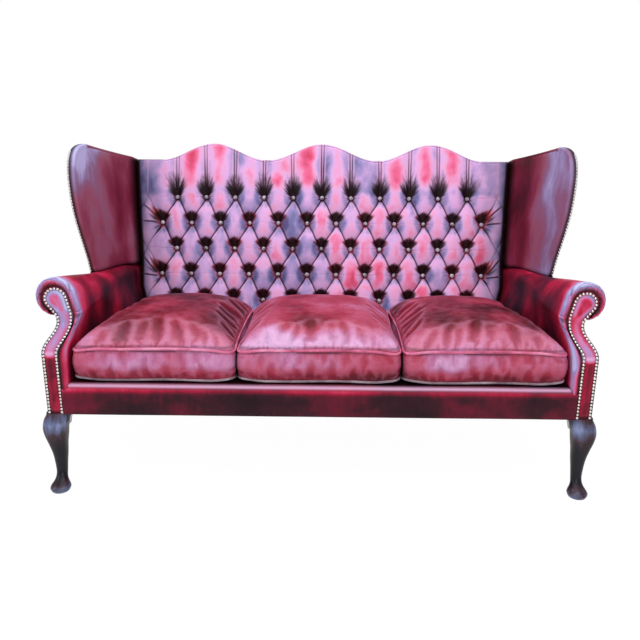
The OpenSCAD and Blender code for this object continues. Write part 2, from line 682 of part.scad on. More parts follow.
// Wings. The board stands on the arm's roll and its front edge is a pair of curves.
wing_board = 22;
wing_foot = arm_rear_height + seam;
wing_foot_y = 5;
wing_reach = 45;
wing_inset = 68;
wing_x = width / 2 - wing_inset;
wing_toe_in = 0.2;
wing_flare = 0.08;
wing_rise = wing_height - wing_foot;
wing_pad = 14;
wing_strip = 27;
wing_steps = 6;
wing_low_shares = [[0, 0], [0.1, 0.18], [1, 0.37], [1, 0.58]];
wing_high_shares = [[1, 0.58], [1, 0.89], [0.2, 1], [-1.55, 1]];
function wing_edge_points(shares) = [for (p = shares)
    [wing_foot_y - wing_reach * p[0], wing_foot + wing_rise * p[1]]];
WING_EDGE = concat(bezier_path(wing_edge_points(wing_low_shares), wing_steps),
    [for (i = [1:wing_steps]) bezier(wing_edge_points(wing_high_shares), i / wing_steps)]);
function wing_back_z(z) = lerp(wing_foot, valley_z - leather, (z - wing_foot) / wing_rise);

// Plan of the inside wing at a point of its front edge, from the tuck beside the back forwards
tuck_depth = 41;
wing_tuck_gap = 3;
wing_near_share = 0.35;
wing_far_share = 0.68;
wing_near_x = 42;
wing_far_x = 65;
function wing_inner_path(e) = let (y = e[0], z = e[1], zb = wing_back_z(z),
    half = back_half(raked_s(0, zb)) + wing_tuck_gap, start = [half, raked_y(0, zb), zb],
    lip_x = wing_plane(y, z), end = [lip_x - leather, y + wing_pad / 2, z])
    concat([[half, raked_y(tuck_depth, zb), zb]],
        bezier_path([start, lerp(start, end, wing_near_share) + [wing_near_x
            - wing_near_share * (lip_x - half), 0, 0],
            lerp(start, end, wing_far_share) + [wing_far_x - wing_far_share * (lip_x - half), 0, 0],
            end], 8),
        [[lip_x + wing_board / 2, y, z], [wing_plane(y + wing_pad / 2, z) + wing_board + seam
            + leather, y + wing_pad / 2, z],
        [wing_plane(y + wing_strip, z) + wing_board + seam + leather, y + wing_strip, z]]);
function wing_hidden_path(e, inner) = let (y = e[0] + wing_pad - seam, z = e[1],
    x = wing_plane(y, z))
    concat([for (i = [0:8]) let (p = inner[i])
        [wing_plane(max(p[1], y + cut), p[2]) - seam, max(p[1], y + cut), p[2]]],
        [[x - seam, y, z], [x + wing_board / 2, y, z], [x + wing_board + seam, y, z],
        [wing_plane(e[0] + wing_strip, z) + wing_board + seam, e[0] + wing_strip, z]]);

// The lowest row follows the top of the arm
lip_drop = 18;
arm_reach = 14;
function on_arm(p) = [p[0], p[1],
    max(arm_top(p[0], p[1]), arm_top(p[0] + arm_reach, p[1]), arm_rear_height - lip_drop) + lip];
function wing_rows(f) = [for (i = [0:len(WING_EDGE) - 1]) let (path = f(WING_EDGE[i]))
    i == 0 ? [for (p = path) on_arm(p)] : path];
module inside_wing() {
    color(leather_red) slab(wing_rows(function(e) wing_inner_path(e)),
        wing_rows(function(e) wing_hidden_path(e, wing_inner_path(e))));
}
function wing_panel_path(e, out, start, n) = [for (i = [0:4]) let (t = i / 4,
    z = lerp(e[1], wing_back_z(e[1]), t), y = lerp(e[0] + start, raked_y(n, z), t))
    [wing_plane(y, z) + out, y, z]];
module outside_wing() {
    color(leather_dark) slab(
        wing_rows(function(e) wing_panel_path(e, wing_board + seam + leather, wing_strip + seam,
            frame_rear)),
        wing_rows(function(e) wing_panel_path(e, wing_board + seam, wing_strip + seam,
            frame_rear)));
}
module wing_frame() {
    color(beech) {
        slab([for (e = WING_EDGE) wing_panel_path(e, wing_board, wing_pad, frame_rear - seam)],
            [for (e = WING_EDGE) wing_panel_path(e, 0, wing_pad, frame_rear - seam)]);
        raked_plate([[upright_foot_x, stile_foot_s], [wing_stile_x(stile_foot_s), stile_foot_s],
            [wing_stile_x(stile_top_s), stile_top_s], [upright_foot_x, stile_top_s]],
            frame_front, board);
    }
}
stile_foot_s = raked_s(frame_rear, wing_foot);
stile_top_s = valley_s - top_rail_height - seam;
function wing_stile_x(s) = let (p = raked_point(0, frame_rear, s))
    wing_plane(p[1], p[2]) + wing_board / 2;
wing_nail_inset = 19;
wing_nail_foot = 12;
module wing_nails() {
    last = len(WING_EDGE) - 2;
    path = [for (i = [0:last]) let (e = WING_EDGE[i],
        along = i == 0 ? [0, 1] : unit(WING_EDGE[i + 1] - WING_EDGE[i - 1]))
        e + wing_nail_inset * [along[1], -along[0]] + [0, i == 0 ? wing_nail_foot : 0]];
    color(nail_metal) for (p = even_points(path, nail_pitch))
        translate([wing_plane(p[0], p[1]) + wing_board + leather + 3 * seam, p[0], p[1]])
            rotate([0, 90 + atan(wing_flare), atan(wing_toe_in)]) nail_head();
}

// Seat: straps over the rails, a padded deck, and the leather front border
border_pad = 7;
border_front = front_rail_y - border_pad;
border_rear = front_rail_y + 2 * board + border_pad;
border_round = 14;
deck_foot = rail_top + webbing_thickness + seam;
function seat_half(y) = let (y0 = facing_y, y1 = upright_y(deck_height))
    lerp(seat_front_half, seat_rear_half, clamp((y - y0) / (y1 - y0)));
module front_border() {
    profile = concat([[border_front, cover_foot]],
        arc_path([border_front + border_round, deck_height - border_round], border_round, 180, 90,
            roll_steps / 2),
        [[border_rear, deck_height], [border_rear, deck_foot], [front_rail_y - seam, deck_foot],
        [front_rail_y - seam, cover_foot]]);
    gap = 2 * seam;
    color(leather_red) intersection() {
        rotate([90, 0, 90]) translate([0, 0, -width]) linear_extrude(2 * width) polygon(profile);
        union() {
            translate([seam - arm_in, border_front - cut, cover_foot - cut])
                cube([2 * (arm_in - seam), depth, rail_top - cover_foot + cut]);
            translate([0, 0, rail_top - cut]) linear_extrude(height)
                polygon([[gap - seat_half(border_front), border_front - cut],
                    [seat_half(border_front) - gap, border_front - cut],
                    [seat_half(border_rear) - gap, border_rear + cut],
                    [gap - seat_half(border_rear), border_rear + cut]]);
        }
    }
}
deck_rear = upright_y(deck_foot) - 2 * seam;
module seat_deck() {
    front = border_rear + seam;
    color(cloth_black) translate([0, 0, deck_foot]) linear_extrude(deck_height - deck_foot)
        polygon([[2 * seam - seat_half(front), front], [seat_half(front) - 2 * seam, front],
            [seat_half(deck_rear) - 4 * seam, deck_rear],
            [4 * seam - seat_half(deck_rear), deck_rear]]);
}
strap_thickness = 2;
clip_depth = 12;
strap_front = front_rail_y + clip_depth;
strap_rear = back_rail_y + board - clip_depth;
strap_side_count = 5;
module seat_webbing() {
    color(webbing_tan) for (k = [-strap_side_count:strap_side_count])
        translate([k * strap_pitch - strap_width / 2, strap_front, rail_top + seam])
            cube([strap_width, strap_rear - strap_front, strap_thickness]);
}
module webbing_clips() {
    color(steel) for (k = [-strap_side_count:strap_side_count], y = [strap_front + seam,
        strap_rear - clip_depth - seam])
        translate([k * strap_pitch - strap_width / 2, y, rail_top + seam + strap_thickness])
            cube([strap_width, clip_depth, webbing_thickness - strap_thickness - seam]);
}
dust_thickness = 1.5;
module dust_cover() {
    front = front_rail_y + clip_depth;
    rear = back_rail_y + board - clip_depth;
    color(cloth_black) translate([0, 0, rail_bottom - seam - dust_thickness])
        linear_extrude(dust_thickness) difference() {
            polygon([[-side_rail_x - board / 2, front], [side_rail_x + board / 2, front],
                [side_rail_rear_x + board / 2, rear], [-side_rail_rear_x - board / 2, rear]]);
            for (side = [0, 1]) mirror([side, 0]) {
                translate([arm_in - cut, front - cut])
                    square([arm_in, front_leg_y + leg_half - front + 2 * cut]);
                translate([upright_foot_x - cut, upright_y(cover_foot) - 2 * cut])
                    square([arm_in, 2 * board]);
            }
        }
}

// Front cabriole leg. Rows are shares of the height, of the leg's half width, of the way to the
// toe, of the half width again, and how square the section is.
leg_half = 34;
front_leg_inset = 22;
front_leg_step = 2;
front_leg_x = arm_out - front_leg_inset;
front_leg_y = facing_y + leg_half - front_leg_step;
leg_section_shares = [[0, -0.2, 1, 0.84, 0], [0.045, -0.2, 1, 0.97, 0], [0.075, -0.2, 0.96, 0.9, 0],
    [0.11, -0.18, 0.82, 0.7, 0], [0.15, -0.15, 0.66, 0.56, 0], [0.21, -0.12, 0.5, 0.52, 0.1],
    [0.32, -0.06, 0.38, 0.58, 0.2], [0.45, 0, 0.3, 0.7, 0.3], [0.58, 0.14, 0.24, 0.86, 0.5],
    [0.7, 0.25, 0.19, 1.04, 0.7], [0.8, 0.29, 0.15, 1.12, 0.8], [0.9, 0.2, 0.07, 1.1, 0.9],
    [1, 0, 0, 1, 1]];
leg_points = 24;
function leg_ring(row) = let (half = leg_half * row[3], power = lerp(1, 0.55, row[4]),
    toe = front_leg_y - (toe_y + leg_half * 0.97),
    c = [front_leg_x + leg_half * row[1], front_leg_y - toe * row[2]])
    [for (i = [0:leg_points - 1]) let (a = 360 * i / leg_points)
        [c[0] + half * sign(cos(a)) * pow(abs(cos(a)), power),
        c[1] + half * sign(sin(a)) * pow(abs(sin(a)), power), leg_height * row[0]]];
bolt_d = 8;
bolt_up = 45;
bolt_down = 40;
front_bolt_y = facing_y + facing_thickness + stump_thickness / 2;
module leg_bolt_hole(x, y) {
    translate([x, y, leg_height - bolt_down - seam])
        cylinder(h = bolt_down + bolt_up + 2 * seam, d = bolt_d + 2 * seam, $fn = round_fn);
}
module front_leg() {
    color(mahogany) difference() {
        ring_loft([for (row = leg_section_shares) leg_ring(row)]);
        leg_bolt_hole(front_leg_x, front_bolt_y);
    }
}
ear = 24;
ear_drop = 46;
ear_thickness = 22;
module ear_profile() {
    linear_extrude(ear_thickness, center = true) polygon(concat([[0, 0]],
        bezier_path([[ear, 0], [ear / 2, -ear / 4], [ear / 4, -ear / 2], [0, -ear_drop]],
            face_steps)));
}
module leg_brackets() {
    ear_z = leg_height - seam / 2;
    color(mahogany) for (side = [0, 1]) mirror([side, 0, 0]) {
        translate([front_leg_x - leg_half - seam, front_leg_y, ear_z])
            rotate([90, 0, 180]) ear_profile();
        translate([front_leg_x, front_leg_y + leg_half + seam, ear_z])
            rotate([90, 0, 90]) ear_profile();
    }
}

// Rear legs are square and raked
rear_leg_top = 48;
rear_leg_foot = 34;
rear_leg_inset = 38;
rear_leg_x = arm_rear_out - rear_leg_inset;
rear_leg_y = raked_y((frame_front + frame_rear) / 2, leg_height);
rear_leg_kick = 95;
function square_ring(x, y, z, w) = [for (a = [225, 315, 45, 135])
    [x + w * sqrt(0.5) * cos(a), y + w * sqrt(0.5) * sin(a), z]];
module rear_leg() {
    color(mahogany) difference() {
        ring_loft([square_ring(rear_leg_x, rear_leg_y + rear_leg_kick, 0, rear_leg_foot),
            square_ring(rear_leg_x, rear_leg_y, leg_height, rear_leg_top)]);
        leg_bolt_hole(rear_leg_x, rear_leg_y);
    }
}
module leg_bolts() {
    color(steel) for (side = [-1, 1], p = [[front_leg_x, front_bolt_y], [rear_leg_x, rear_leg_y]])
        translate([side * p[0], p[1], leg_height - bolt_down])
            cylinder(h = bolt_down + bolt_up, d = bolt_d, $fn = round_fn);
}

// Seat cushions: corners run from the front left one anticlockwise
cushion_gap = 0.6;
cushion_front = facing_y + facing_thickness;
cushion_rear = back_y - cut;
arm_clear = 5;
function centre_corners() = let (h = cushion_width / 2)
    [[-h, cushion_front], [h, cushion_front], [h, cushion_rear], [-h, cushion_rear]];
function outer_corners() = let (h = cushion_width / 2 + cushion_gap)
    [[h, cushion_front], [seat_half(cushion_front) - 2 * arm_clear, cushion_front],
    [seat_half(cushion_rear) - arm_clear, cushion_rear], [h, cushion_rear]];
cushion_corner = 34;
corner_steps = 3;
side_steps = 11;
draw_in = 7;
function unit(v) = v / norm(v);
function inset_corners(c, k, inset) = let (m = (c[0] + c[1] + c[2] + c[3]) / 4)
    [for (p = c) let (d = p - m) m + k * d - inset * [sign(d[0]), sign(d[1])]];
function cushion_outline(c, r, pull) = [for (i = [0:3]) let (p = c[i], q = c[(i + 1) % 4],
    o = c[(i + 3) % 4], along = unit(q - p), start = p + r * unit(o - p), end = p + r * along,
    next = q - r * along, inward = [-along[1], along[0]])
    each concat([for (j = [0:corner_steps]) let (t = j / corner_steps)
        start * pow(1 - t, 2) + 2 * p * t * (1 - t) + end * t * t],
        [for (j = [1:side_steps - 1]) let (t = j / side_steps)
            lerp(end, next, t) + inward * pull * sin(180 * t)])];

// Rows of a cushion are [height, inset, share of the outline, share of the draw-in]
seat_seam = deck_height + seam;
low_piping = deck_height + piping;
high_piping = low_piping + band_height;
crown_shares = [0.96, 0.88, 0.76, 0.6, 0.4, 0.18];
crown_power = 2.3;
crown_roundness = 0.9;
band_in = 4;
band_rounding = 26;
CUSHION_ROWS = concat([[seat_seam, band_rounding, 1, 0], [seat_seam, band_rounding / 2, 1, 0.5],
    [low_piping - piping / 2, band_in, 1, 1], [low_piping - piping / 4, 0, 1, 1],
    [low_piping + piping / 4, 0, 1, 1], [low_piping + piping / 2, band_in, 1, 1],
    [(low_piping + high_piping) / 2, band_in / 4, 1, 1], [high_piping - piping / 2, band_in, 1, 1],
    [high_piping - piping / 4, 0, 1, 1], [high_piping + piping / 4, 0, 1, 1],
    [high_piping + piping / 2, band_in, 1, 1]],
    [for (k = crown_shares) [high_piping + piping / 2 + crown_height * (1 - pow(k, crown_power)),
        band_in, k, k]]);
module seat_cushion(c) {
    short = cushion_width / 2;
    color(leather_red) ring_loft([for (row = CUSHION_ROWS)
        [for (p = cushion_outline(inset_corners(c, row[2], row[1]),
            lerp(short * row[2] * crown_roundness, cushion_corner, row[2] * row[2]),
            draw_in * row[3]))
            [p[0], p[1], row[0]]]]);
}
module left() {
    mirror([1, 0, 0]) children();
}

front_rail();
back_seat_rail();
left() side_rail();  // side_rail_left
side_rail();  // side_rail_right
cross_rails();
corner_blocks();
left() back_post();  // back_post_left
back_post();  // back_post_right
back_uprights();
top_back_rail();
lumbar_rail();
left() arm_upright();  // arm_upright_left
arm_upright();  // arm_upright_right
left() arm_stump();  // arm_stump_left
arm_stump();  // arm_stump_right
left() arm_top_rail();  // arm_top_rail_left
arm_top_rail();  // arm_top_rail_right
left() arm_tack_rail();  // arm_tack_rail_left
arm_tack_rail();  // arm_tack_rail_right
left() wing_frame();  // wing_frame_left
wing_frame();  // wing_frame_right
left() front_leg();  // front_leg_left
front_leg();  // front_leg_right
leg_brackets();
left() rear_leg();  // rear_leg_left
rear_leg();  // rear_leg_right
leg_bolts();
seat_webbing();
webbing_clips();
seat_deck();
front_border();
left() inside_arm();  // inside_arm_left
inside_arm();  // inside_arm_right
left() outside_arm();  // outside_arm_left
outside_arm();  // outside_arm_right
left() arm_facing();  // arm_facing_left
arm_facing();  // arm_facing_right
left() facing_nails(inner_nail_path());  // facing_nails_inner_left
facing_nails(inner_nail_path());  // facing_nails_inner_right
left() facing_nails(outer_nail_path());  // facing_nails_outer_left
facing_nails(outer_nail_path());  // facing_nails_outer_right
left() inside_wing();  // inside_wing_left
inside_wing();  // inside_wing_right
left() outside_wing();  // outside_wing_left
outside_wing();  // outside_wing_right
left() wing_nails();  // wing_nails_left
wing_nails();  // wing_nails_right
tufted_back();
back_foam();
back_webbing();
back_buttons();
outside_back();
dust_cover();
left() seat_cushion(outer_corners());  // cushion_left
seat_cushion(centre_corners());  // cushion_centre
seat_cushion(outer_corners());  // cushion_right
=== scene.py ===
import json
import math

import bmesh
import bpy
import numpy as np
from mathutils import Matrix, Vector, noise
from mathutils.geometry import delaunay_2d_cdt


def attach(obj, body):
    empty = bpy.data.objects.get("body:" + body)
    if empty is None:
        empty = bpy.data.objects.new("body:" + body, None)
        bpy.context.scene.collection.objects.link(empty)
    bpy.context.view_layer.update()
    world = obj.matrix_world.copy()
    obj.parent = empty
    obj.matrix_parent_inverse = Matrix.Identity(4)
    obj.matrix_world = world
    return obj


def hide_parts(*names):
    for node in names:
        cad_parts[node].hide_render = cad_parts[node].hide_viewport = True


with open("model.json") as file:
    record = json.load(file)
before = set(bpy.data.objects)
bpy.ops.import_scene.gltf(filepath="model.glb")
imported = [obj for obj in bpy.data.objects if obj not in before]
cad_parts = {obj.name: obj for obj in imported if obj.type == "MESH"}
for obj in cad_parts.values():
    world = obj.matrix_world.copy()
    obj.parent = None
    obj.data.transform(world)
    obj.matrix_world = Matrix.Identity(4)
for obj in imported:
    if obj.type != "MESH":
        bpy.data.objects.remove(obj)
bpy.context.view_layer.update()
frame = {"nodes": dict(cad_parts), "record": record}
print("frame loaded", len(frame["nodes"]), "nodes")

# The sofa's main sizes, the same as the part's
sofa = dict(depth=920, height=1131, deck=371, legTop=262, rake=15.5, crestRise=66, valleyX=228, crestX=449,
            topEdge=13, frameFront=48, frameRear=78, backRear=81.3)
seat = dict(frontHalf=815, rearHalf=724, railTop=350)
gap = 0.3
leatherThickness = 3


def lerp(a, b, t):
    return a + (b - a) * t


def smooth(t):
    c = np.clip(t, 0, 1)
    return c * c * (3 - 2 * c)


def bell(distance, width):
    return np.exp(-(distance / width) ** 2)


def bezier(p, steps):
    t = np.linspace(0, 1, steps + 1)[:, None]
    a, b, c, d = (np.asarray(q, float) for q in p)
    return a * (1 - t) ** 3 + 3 * b * t * (1 - t) ** 2 + 3 * c * t * t * (1 - t) + d * t ** 3


def arc(centre, radius, start, end, steps):
    a = np.radians(np.linspace(start, end, steps + 1))
    return np.array(centre) + radius * np.column_stack([np.cos(a), np.sin(a)])


def upright(x, low, high, count):  # straight line of points at one x
    return np.column_stack([np.full(count, float(x)), np.linspace(low, high, count)])


def pathLength(path):
    return np.linalg.norm(np.diff(path, axis=0), axis=1).sum()


def noiseAt(points, scale, seed=0.0):
    return np.array([noise.noise(Vector(p) * scale + Vector((seed, seed * 1.7, -seed))) for p in points])


# The raked back has its own directions: n goes back, square to it, and s goes up along it
rakeSin, rakeCos = math.sin(math.radians(sofa["rake"])), math.cos(math.radians(sofa["rake"]))
crestS = (sofa["height"] - sofa["deck"] + sofa["topEdge"] * rakeSin) / rakeCos
backY = sofa["depth"] / 2 - crestS * rakeSin - sofa["backRear"] * rakeCos
valleyZ = sofa["height"] - sofa["crestRise"]
valleyS = crestS - sofa["crestRise"] / rakeCos


def rakedPoint(x, n, s):
    x, n, s = np.broadcast_arrays(x, n, s)
    return np.stack([x, backY + s * rakeSin + n * rakeCos, sofa["deck"] + s * rakeCos - n * rakeSin], -1)


def rakedY(n, z):
    return backY + (z - sofa["deck"]) * rakeSin / rakeCos + n / rakeCos


def rakedS(n, z):
    return (z - sofa["deck"] + n * rakeSin) / rakeCos


def topS(x):  # serpentine top edge of the back
    valley, crest = sofa["valleyX"], sofa["crestX"]
    a = np.abs(x)
    middle = (1 + np.cos(np.pi * a / valley)) / 2
    outer = (1 + np.cos(np.pi * (a - crest) / (crest - valley))) / 2
    wave = np.where(a < valley, middle, np.where(a < 2 * crest - valley, outer, 0))
    return valleyS + (crestS - valleyS) * wave


# Meshes
def gridFaces(rows, cols, loop=False, offset=0):
    r, c = np.meshgrid(np.arange(rows - 1), np.arange(cols if loop else cols - 1), indexing="ij")
    a = r * cols + c
    b = r * cols + (c + 1) % cols
    return (np.stack([a, b, b + cols, a + cols], -1).reshape(-1, 4) + offset).tolist()


def addPiece(name, points, faces, material, body="frame", replaces=(), slot=None, fields=None,
             creaseAngle=None):
    mesh = bpy.data.meshes.new(name)
    mesh.from_pydata((np.asarray(points, float) / 1000).tolist(), [], faces)
    for field, values in (fields or {}).items():
        values = np.asarray(values, float)
        kind, key = ("FLOAT_VECTOR", "vector") if values.ndim == 2 else ("FLOAT", "value")
        mesh.attributes.new(field, kind, "POINT").data.foreach_set(key, values.astype(np.float32).ravel())
    work = bmesh.new()
    work.from_mesh(mesh)
    bmesh.ops.remove_doubles(work, verts=work.verts, dist=0.00002)
    bmesh.ops.recalc_face_normals(work, faces=work.faces)
    work.to_mesh(mesh)
    work.free()
    mesh.shade_smooth()
    if creaseAngle:
        mesh.set_sharp_from_angle(angle=math.radians(creaseAngle))
    obj = bpy.data.objects.new(name, mesh)
    bpy.context.scene.collection.objects.link(obj)
    mesh.materials.append(material)
    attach(obj, body)
    if replaces:
        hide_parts(*replaces)
    return obj


def slab(outer, inner):  # closed wall between two grids
    rows, cols = outer.shape[:2]
    count = rows * cols
    faces = gridFaces(rows, cols) + [f[::-1] for f in gridFaces(rows, cols, offset=count)]
    ring = list(range(cols)) + [r * cols + cols - 1 for r in range(1, rows - 1)]
    ring += list(range(count - 1, count - cols - 1, -1)) + [r * cols for r in range(rows - 2, 0, -1)]
    faces += [[a, b, b + count, a + count] for a, b in zip(ring, ring[1:] + ring[:1])]
    return np.concatenate([outer.reshape(-1, 3), inner.reshape(-1, 3)]), faces


def stacked(rings):  # closed form from rings one above the other, with a fan at the foot and at the top
    rings = np.array(rings)
    rows, count = rings.shape[:2]
    middle = rows * count
    last = middle - count
    faces = gridFaces(rows, count, loop=True)
    faces += [[middle, (i + 1) % count, i] for i in range(count)]
    faces += [[middle + 1, last + i, last + (i + 1) % count] for i in range(count)]
    return np.concatenate([rings.reshape(-1, 3), [rings[0].mean(0)], [rings[-1].mean(0)]]), faces


def shown(**fields):  # values for the seen side of a wall, and zeros for its hidden side
    made = {}
    for name, values in fields.items():
        flat = np.reshape(values, (-1, 3)) if name.endswith("Place") else np.ravel(values)
        made[name] = np.concatenate([flat, np.zeros_like(flat)])
    return made


def mirrored(points):
    return np.asarray(points) * [-1, 1, 1]


def bothSides(name, points, faces, material, replaces=(), **more):
    for side, placed in (("right", points), ("left", mirrored(points))):
        nodes = [f"{node}_{side}" for node in replaces]
        addPiece(f"{name}_{side}", placed, faces, material, replaces=nodes, **more)


# Materials
def colour(code):
    rgb = [int(code[i:i + 2], 16) / 255 for i in (1, 3, 5)]
    return [c / 12.92 if c <= 0.04045 else ((c + 0.055) / 1.055) ** 2.4 for c in rgb] + [1]


def perMetre(size):  # a pattern's scale, from its real size in millimetres
    return 1000 / size


def feed(tree, node, inputs):  # each input gets a link from a socket or a node's first output, or a value
    for key, value in inputs.items():
        if isinstance(value, bpy.types.Node):
            value = value.outputs[0]
        if isinstance(value, bpy.types.NodeSocket):
            tree.links.new(value, node.inputs[key])
        else:
            node.inputs[key].default_value = value


def addNode(tree, kind, inputs=None, stops=None, **settings):  # shader kinds go without their prefix
    made = tree.nodes.new(kind if "Node" in kind else "ShaderNode" + kind)
    for key, value in settings.items():
        setattr(made, key, value)
    feed(tree, made, inputs or {})
    if stops:
        ramp = made.color_ramp
        while len(ramp.elements) < len(stops):
            ramp.elements.new(0.5)
        for element, (at, code) in zip(ramp.elements, stops):
            element.position = at
            element.color = colour(code)
    return made


def mathNode(tree, operation, *values, **settings):
    return addNode(tree, "Math", dict(enumerate(values)), operation=operation, **settings)


def blend(tree, share, under, over):  # from one colour to another
    return addNode(tree, "Mix", {"Factor": share, 6: under, 7: over}, data_type="RGBA").outputs[2]


def newMaterial(name):
    made = bpy.data.materials.new(name)
    made.use_nodes = True
    tree = made.node_tree
    tree.nodes.clear()
    shader = addNode(tree, "BsdfPrincipled")
    addNode(tree, "OutputMaterial", {"Surface": shader})
    return made, tree, shader, addNode(tree, "TexCoord").outputs["Object"]


# Vegetable-tanned hide, dyed oxblood over red and rubbed off by hand: near-black in the folds, which is the
# dye left there and painted shade; crimson where the dye lies thick; pink and then lilac where it is
# polished, which is rubbed wear with a painted sheen. The grain is drawn coarser than a hide's own, so that
# it shows.
hide = dict(warp=0.12, brush=14.3, brushSpread=0.16, crumple=22.2, crossing=41.7, grain=2.2, bump=1.4,
            foldTone="#1a090e")


def antiquedLeather(name, tones, patch=200, spread=1.6, streak=(1.0, 1.0, 0.35), rough=0.36,
                    gleamTone="#f0b4dc", wrinkled=False, tufted=False):
    made, tree, shader, place = newMaterial(name)
    warp = addNode(tree, "TexNoise", {"Vector": place, "Scale": perMetre(patch) * 0.8, "Detail": 2})
    shift = addNode(tree, "VectorMath", {0: warp.outputs["Color"], 1: [hide["warp"]] * 3},
                    operation="MULTIPLY")
    moved = addNode(tree, "VectorMath", {0: place, 1: shift}, operation="ADD")
    drawn = addNode(tree, "VectorMath", {0: moved, 1: streak}, operation="MULTIPLY")
    blotch = addNode(tree, "TexNoise", {"Vector": drawn, "Scale": perMetre(patch), "Detail": 5,
                                        "Roughness": 0.5})
    stroked = addNode(tree, "VectorMath", {0: moved, 1: (1.0, 1.0, 0.12)}, operation="MULTIPLY")
    brush = addNode(tree, "TexNoise", {"Vector": stroked, "Scale": perMetre(hide["brush"]), "Detail": 3,
                                       "Roughness": 0.6})
    # the polish level is rubbed wear with a painted sheen at its pale end; on the back it also carries
    # painted shade
    polish = addNode(tree, "Attribute", attribute_name="polish").outputs["Fac"]
    # noise is 0.5 on average, so half of each spread is taken off again
    level = mathNode(tree, "MULTIPLY_ADD", blotch, spread, polish)
    level = mathNode(tree, "MULTIPLY_ADD", brush, hide["brushSpread"], level)
    level = mathNode(tree, "SUBTRACT", level, (spread + hide["brushSpread"]) / 2, use_clamp=True)
    tone = addNode(tree, "ValToRGB", {"Fac": level}, stops=tones).outputs[0]
    # painted highlights, then the near-black of the folds, which is dye left in them and painted shade, go
    # over the tone
    for field, over in (("gleam", gleamTone), ("fold", hide["foldTone"])):
        share = addNode(tree, "Attribute", attribute_name=field).outputs["Fac"]
        tone = blend(tree, share, tone, colour(over))
    if tufted:
        tone = pitShade(tree, tone)
    grain = addNode(tree, "TexVoronoi", {"Vector": place, "Scale": perMetre(hide["grain"])})
    crumple = addNode(tree, "TexNoise", {"Vector": place, "Scale": perMetre(hide["crumple"]), "Detail": 5,
                                         "Roughness": 0.6})
    height = mathNode(tree, "MULTIPLY_ADD", grain, 0.3, crumple)
    if wrinkled:
        cracks = addNode(tree, "TexVoronoi", {"Vector": moved, "Scale": perMetre(hide["crossing"])},
                         feature="DISTANCE_TO_EDGE")
        line = addNode(tree, "MapRange", {"Value": cracks, "From Max": 0.1, "To Min": 0, "To Max": 1})
        height = mathNode(tree, "ADD", height, line)
    bump = addNode(tree, "Bump", {"Height": height, "Strength": 0.6, "Distance": hide["bump"] / 1000})
    gloss = addNode(tree, "MapRange", {"Value": crumple, "To Min": rough - 0.06, "To Max": rough + 0.12})
    feed(tree, shader, {"Base Color": tone, "Normal": bump, "Roughness": gloss, "IOR": 1.5,
                        "Specular IOR Level": 0.15})
    return made


# Painted shade: the well round each button is near-black, with feathered streaks that run up from it where
# the hollow lies in shade; the tufts' places are an attribute of the cover, measured from the nearest button
pit = dict(around=14, above=48, rays=6, outward=16, wave=120, waveRise=2.2, lineOuter=1.6, lineInner=0.3,
           lineTone="#6e4478", darkTip="#4a3038", warmTip="#c8303c", well="#16080b")


def pitShade(tree, under):
    near = addNode(tree, "Attribute", attribute_name="tuftPlace").outputs["Vector"]
    across, up, mask = addNode(tree, "SeparateXYZ", {0: near}).outputs
    seed = addNode(tree, "Attribute", attribute_name="tuftSeed").outputs["Fac"]
    warm = addNode(tree, "Attribute", attribute_name="tuftTip").outputs["Fac"]
    flat = addNode(tree, "CombineXYZ", {0: across, 1: up})
    reach = addNode(tree, "VectorMath", {0: flat}, operation="LENGTH").outputs["Value"]
    angle = mathNode(tree, "ARCTAN2", across, up)
    turned = mathNode(tree, "MULTIPLY", angle, pit["rays"])
    outward = mathNode(tree, "MULTIPLY", reach, pit["outward"])
    rays = addNode(tree, "CombineXYZ", {0: turned, 1: outward, 2: seed})
    feather = addNode(tree, "TexNoise", {"Vector": rays, "Scale": 1.0, "Detail": 4, "Roughness": 0.7})
    upward = mathNode(tree, "COSINE", angle)
    lift = addNode(tree, "MapRange", {"Value": upward, "From Min": 0.3, "From Max": 1, "To Min": 0.0,
                                      "To Max": pit["above"] / 1000}, interpolation_type="SMOOTHSTEP")
    size = mathNode(tree, "ADD", lift, pit["around"] / 1000)
    ragged = addNode(tree, "MapRange", {"Value": feather, "From Min": 0.3, "From Max": 0.7,
                                        "To Min": 0.6, "To Max": 1.4})
    edge = mathNode(tree, "MULTIPLY", size, ragged)
    part = mathNode(tree, "DIVIDE", reach, edge)
    # painted shade in the fine creases that run level from button to button
    bend = mathNode(tree, "MULTIPLY_ADD", across, pit["wave"], seed)
    bend = mathNode(tree, "SINE", bend)
    level = mathNode(tree, "MULTIPLY_ADD", bend, pit["waveRise"] / 1000, up)
    level = mathNode(tree, "ABSOLUTE", level)
    tipTone = blend(tree, warm, colour(pit["darkTip"]), colour(pit["warmTip"]))
    reachOfLine = (pit["lineOuter"] / 1000, pit["lineInner"] / 1000)
    layers = [(level, *reachOfLine, 0.5, colour(pit["lineTone"]), "LINEAR"),
              (part, 1.75, 0.8, 0.75, tipTone, "SMOOTHSTEP"),
              (part, 1.3, 0.6, 0.97, colour(pit["well"]), "SMOOTHSTEP")]
    for value, start, full, strength, tone, kind in layers:
        share = addNode(tree, "MapRange", {"Value": value, "From Min": start, "From Max": full,
                                           "To Min": 0, "To Max": strength}, interpolation_type=kind)
        share = mathNode(tree, "MULTIPLY", share, mask)
        under = blend(tree, share, under, tone)
    return under
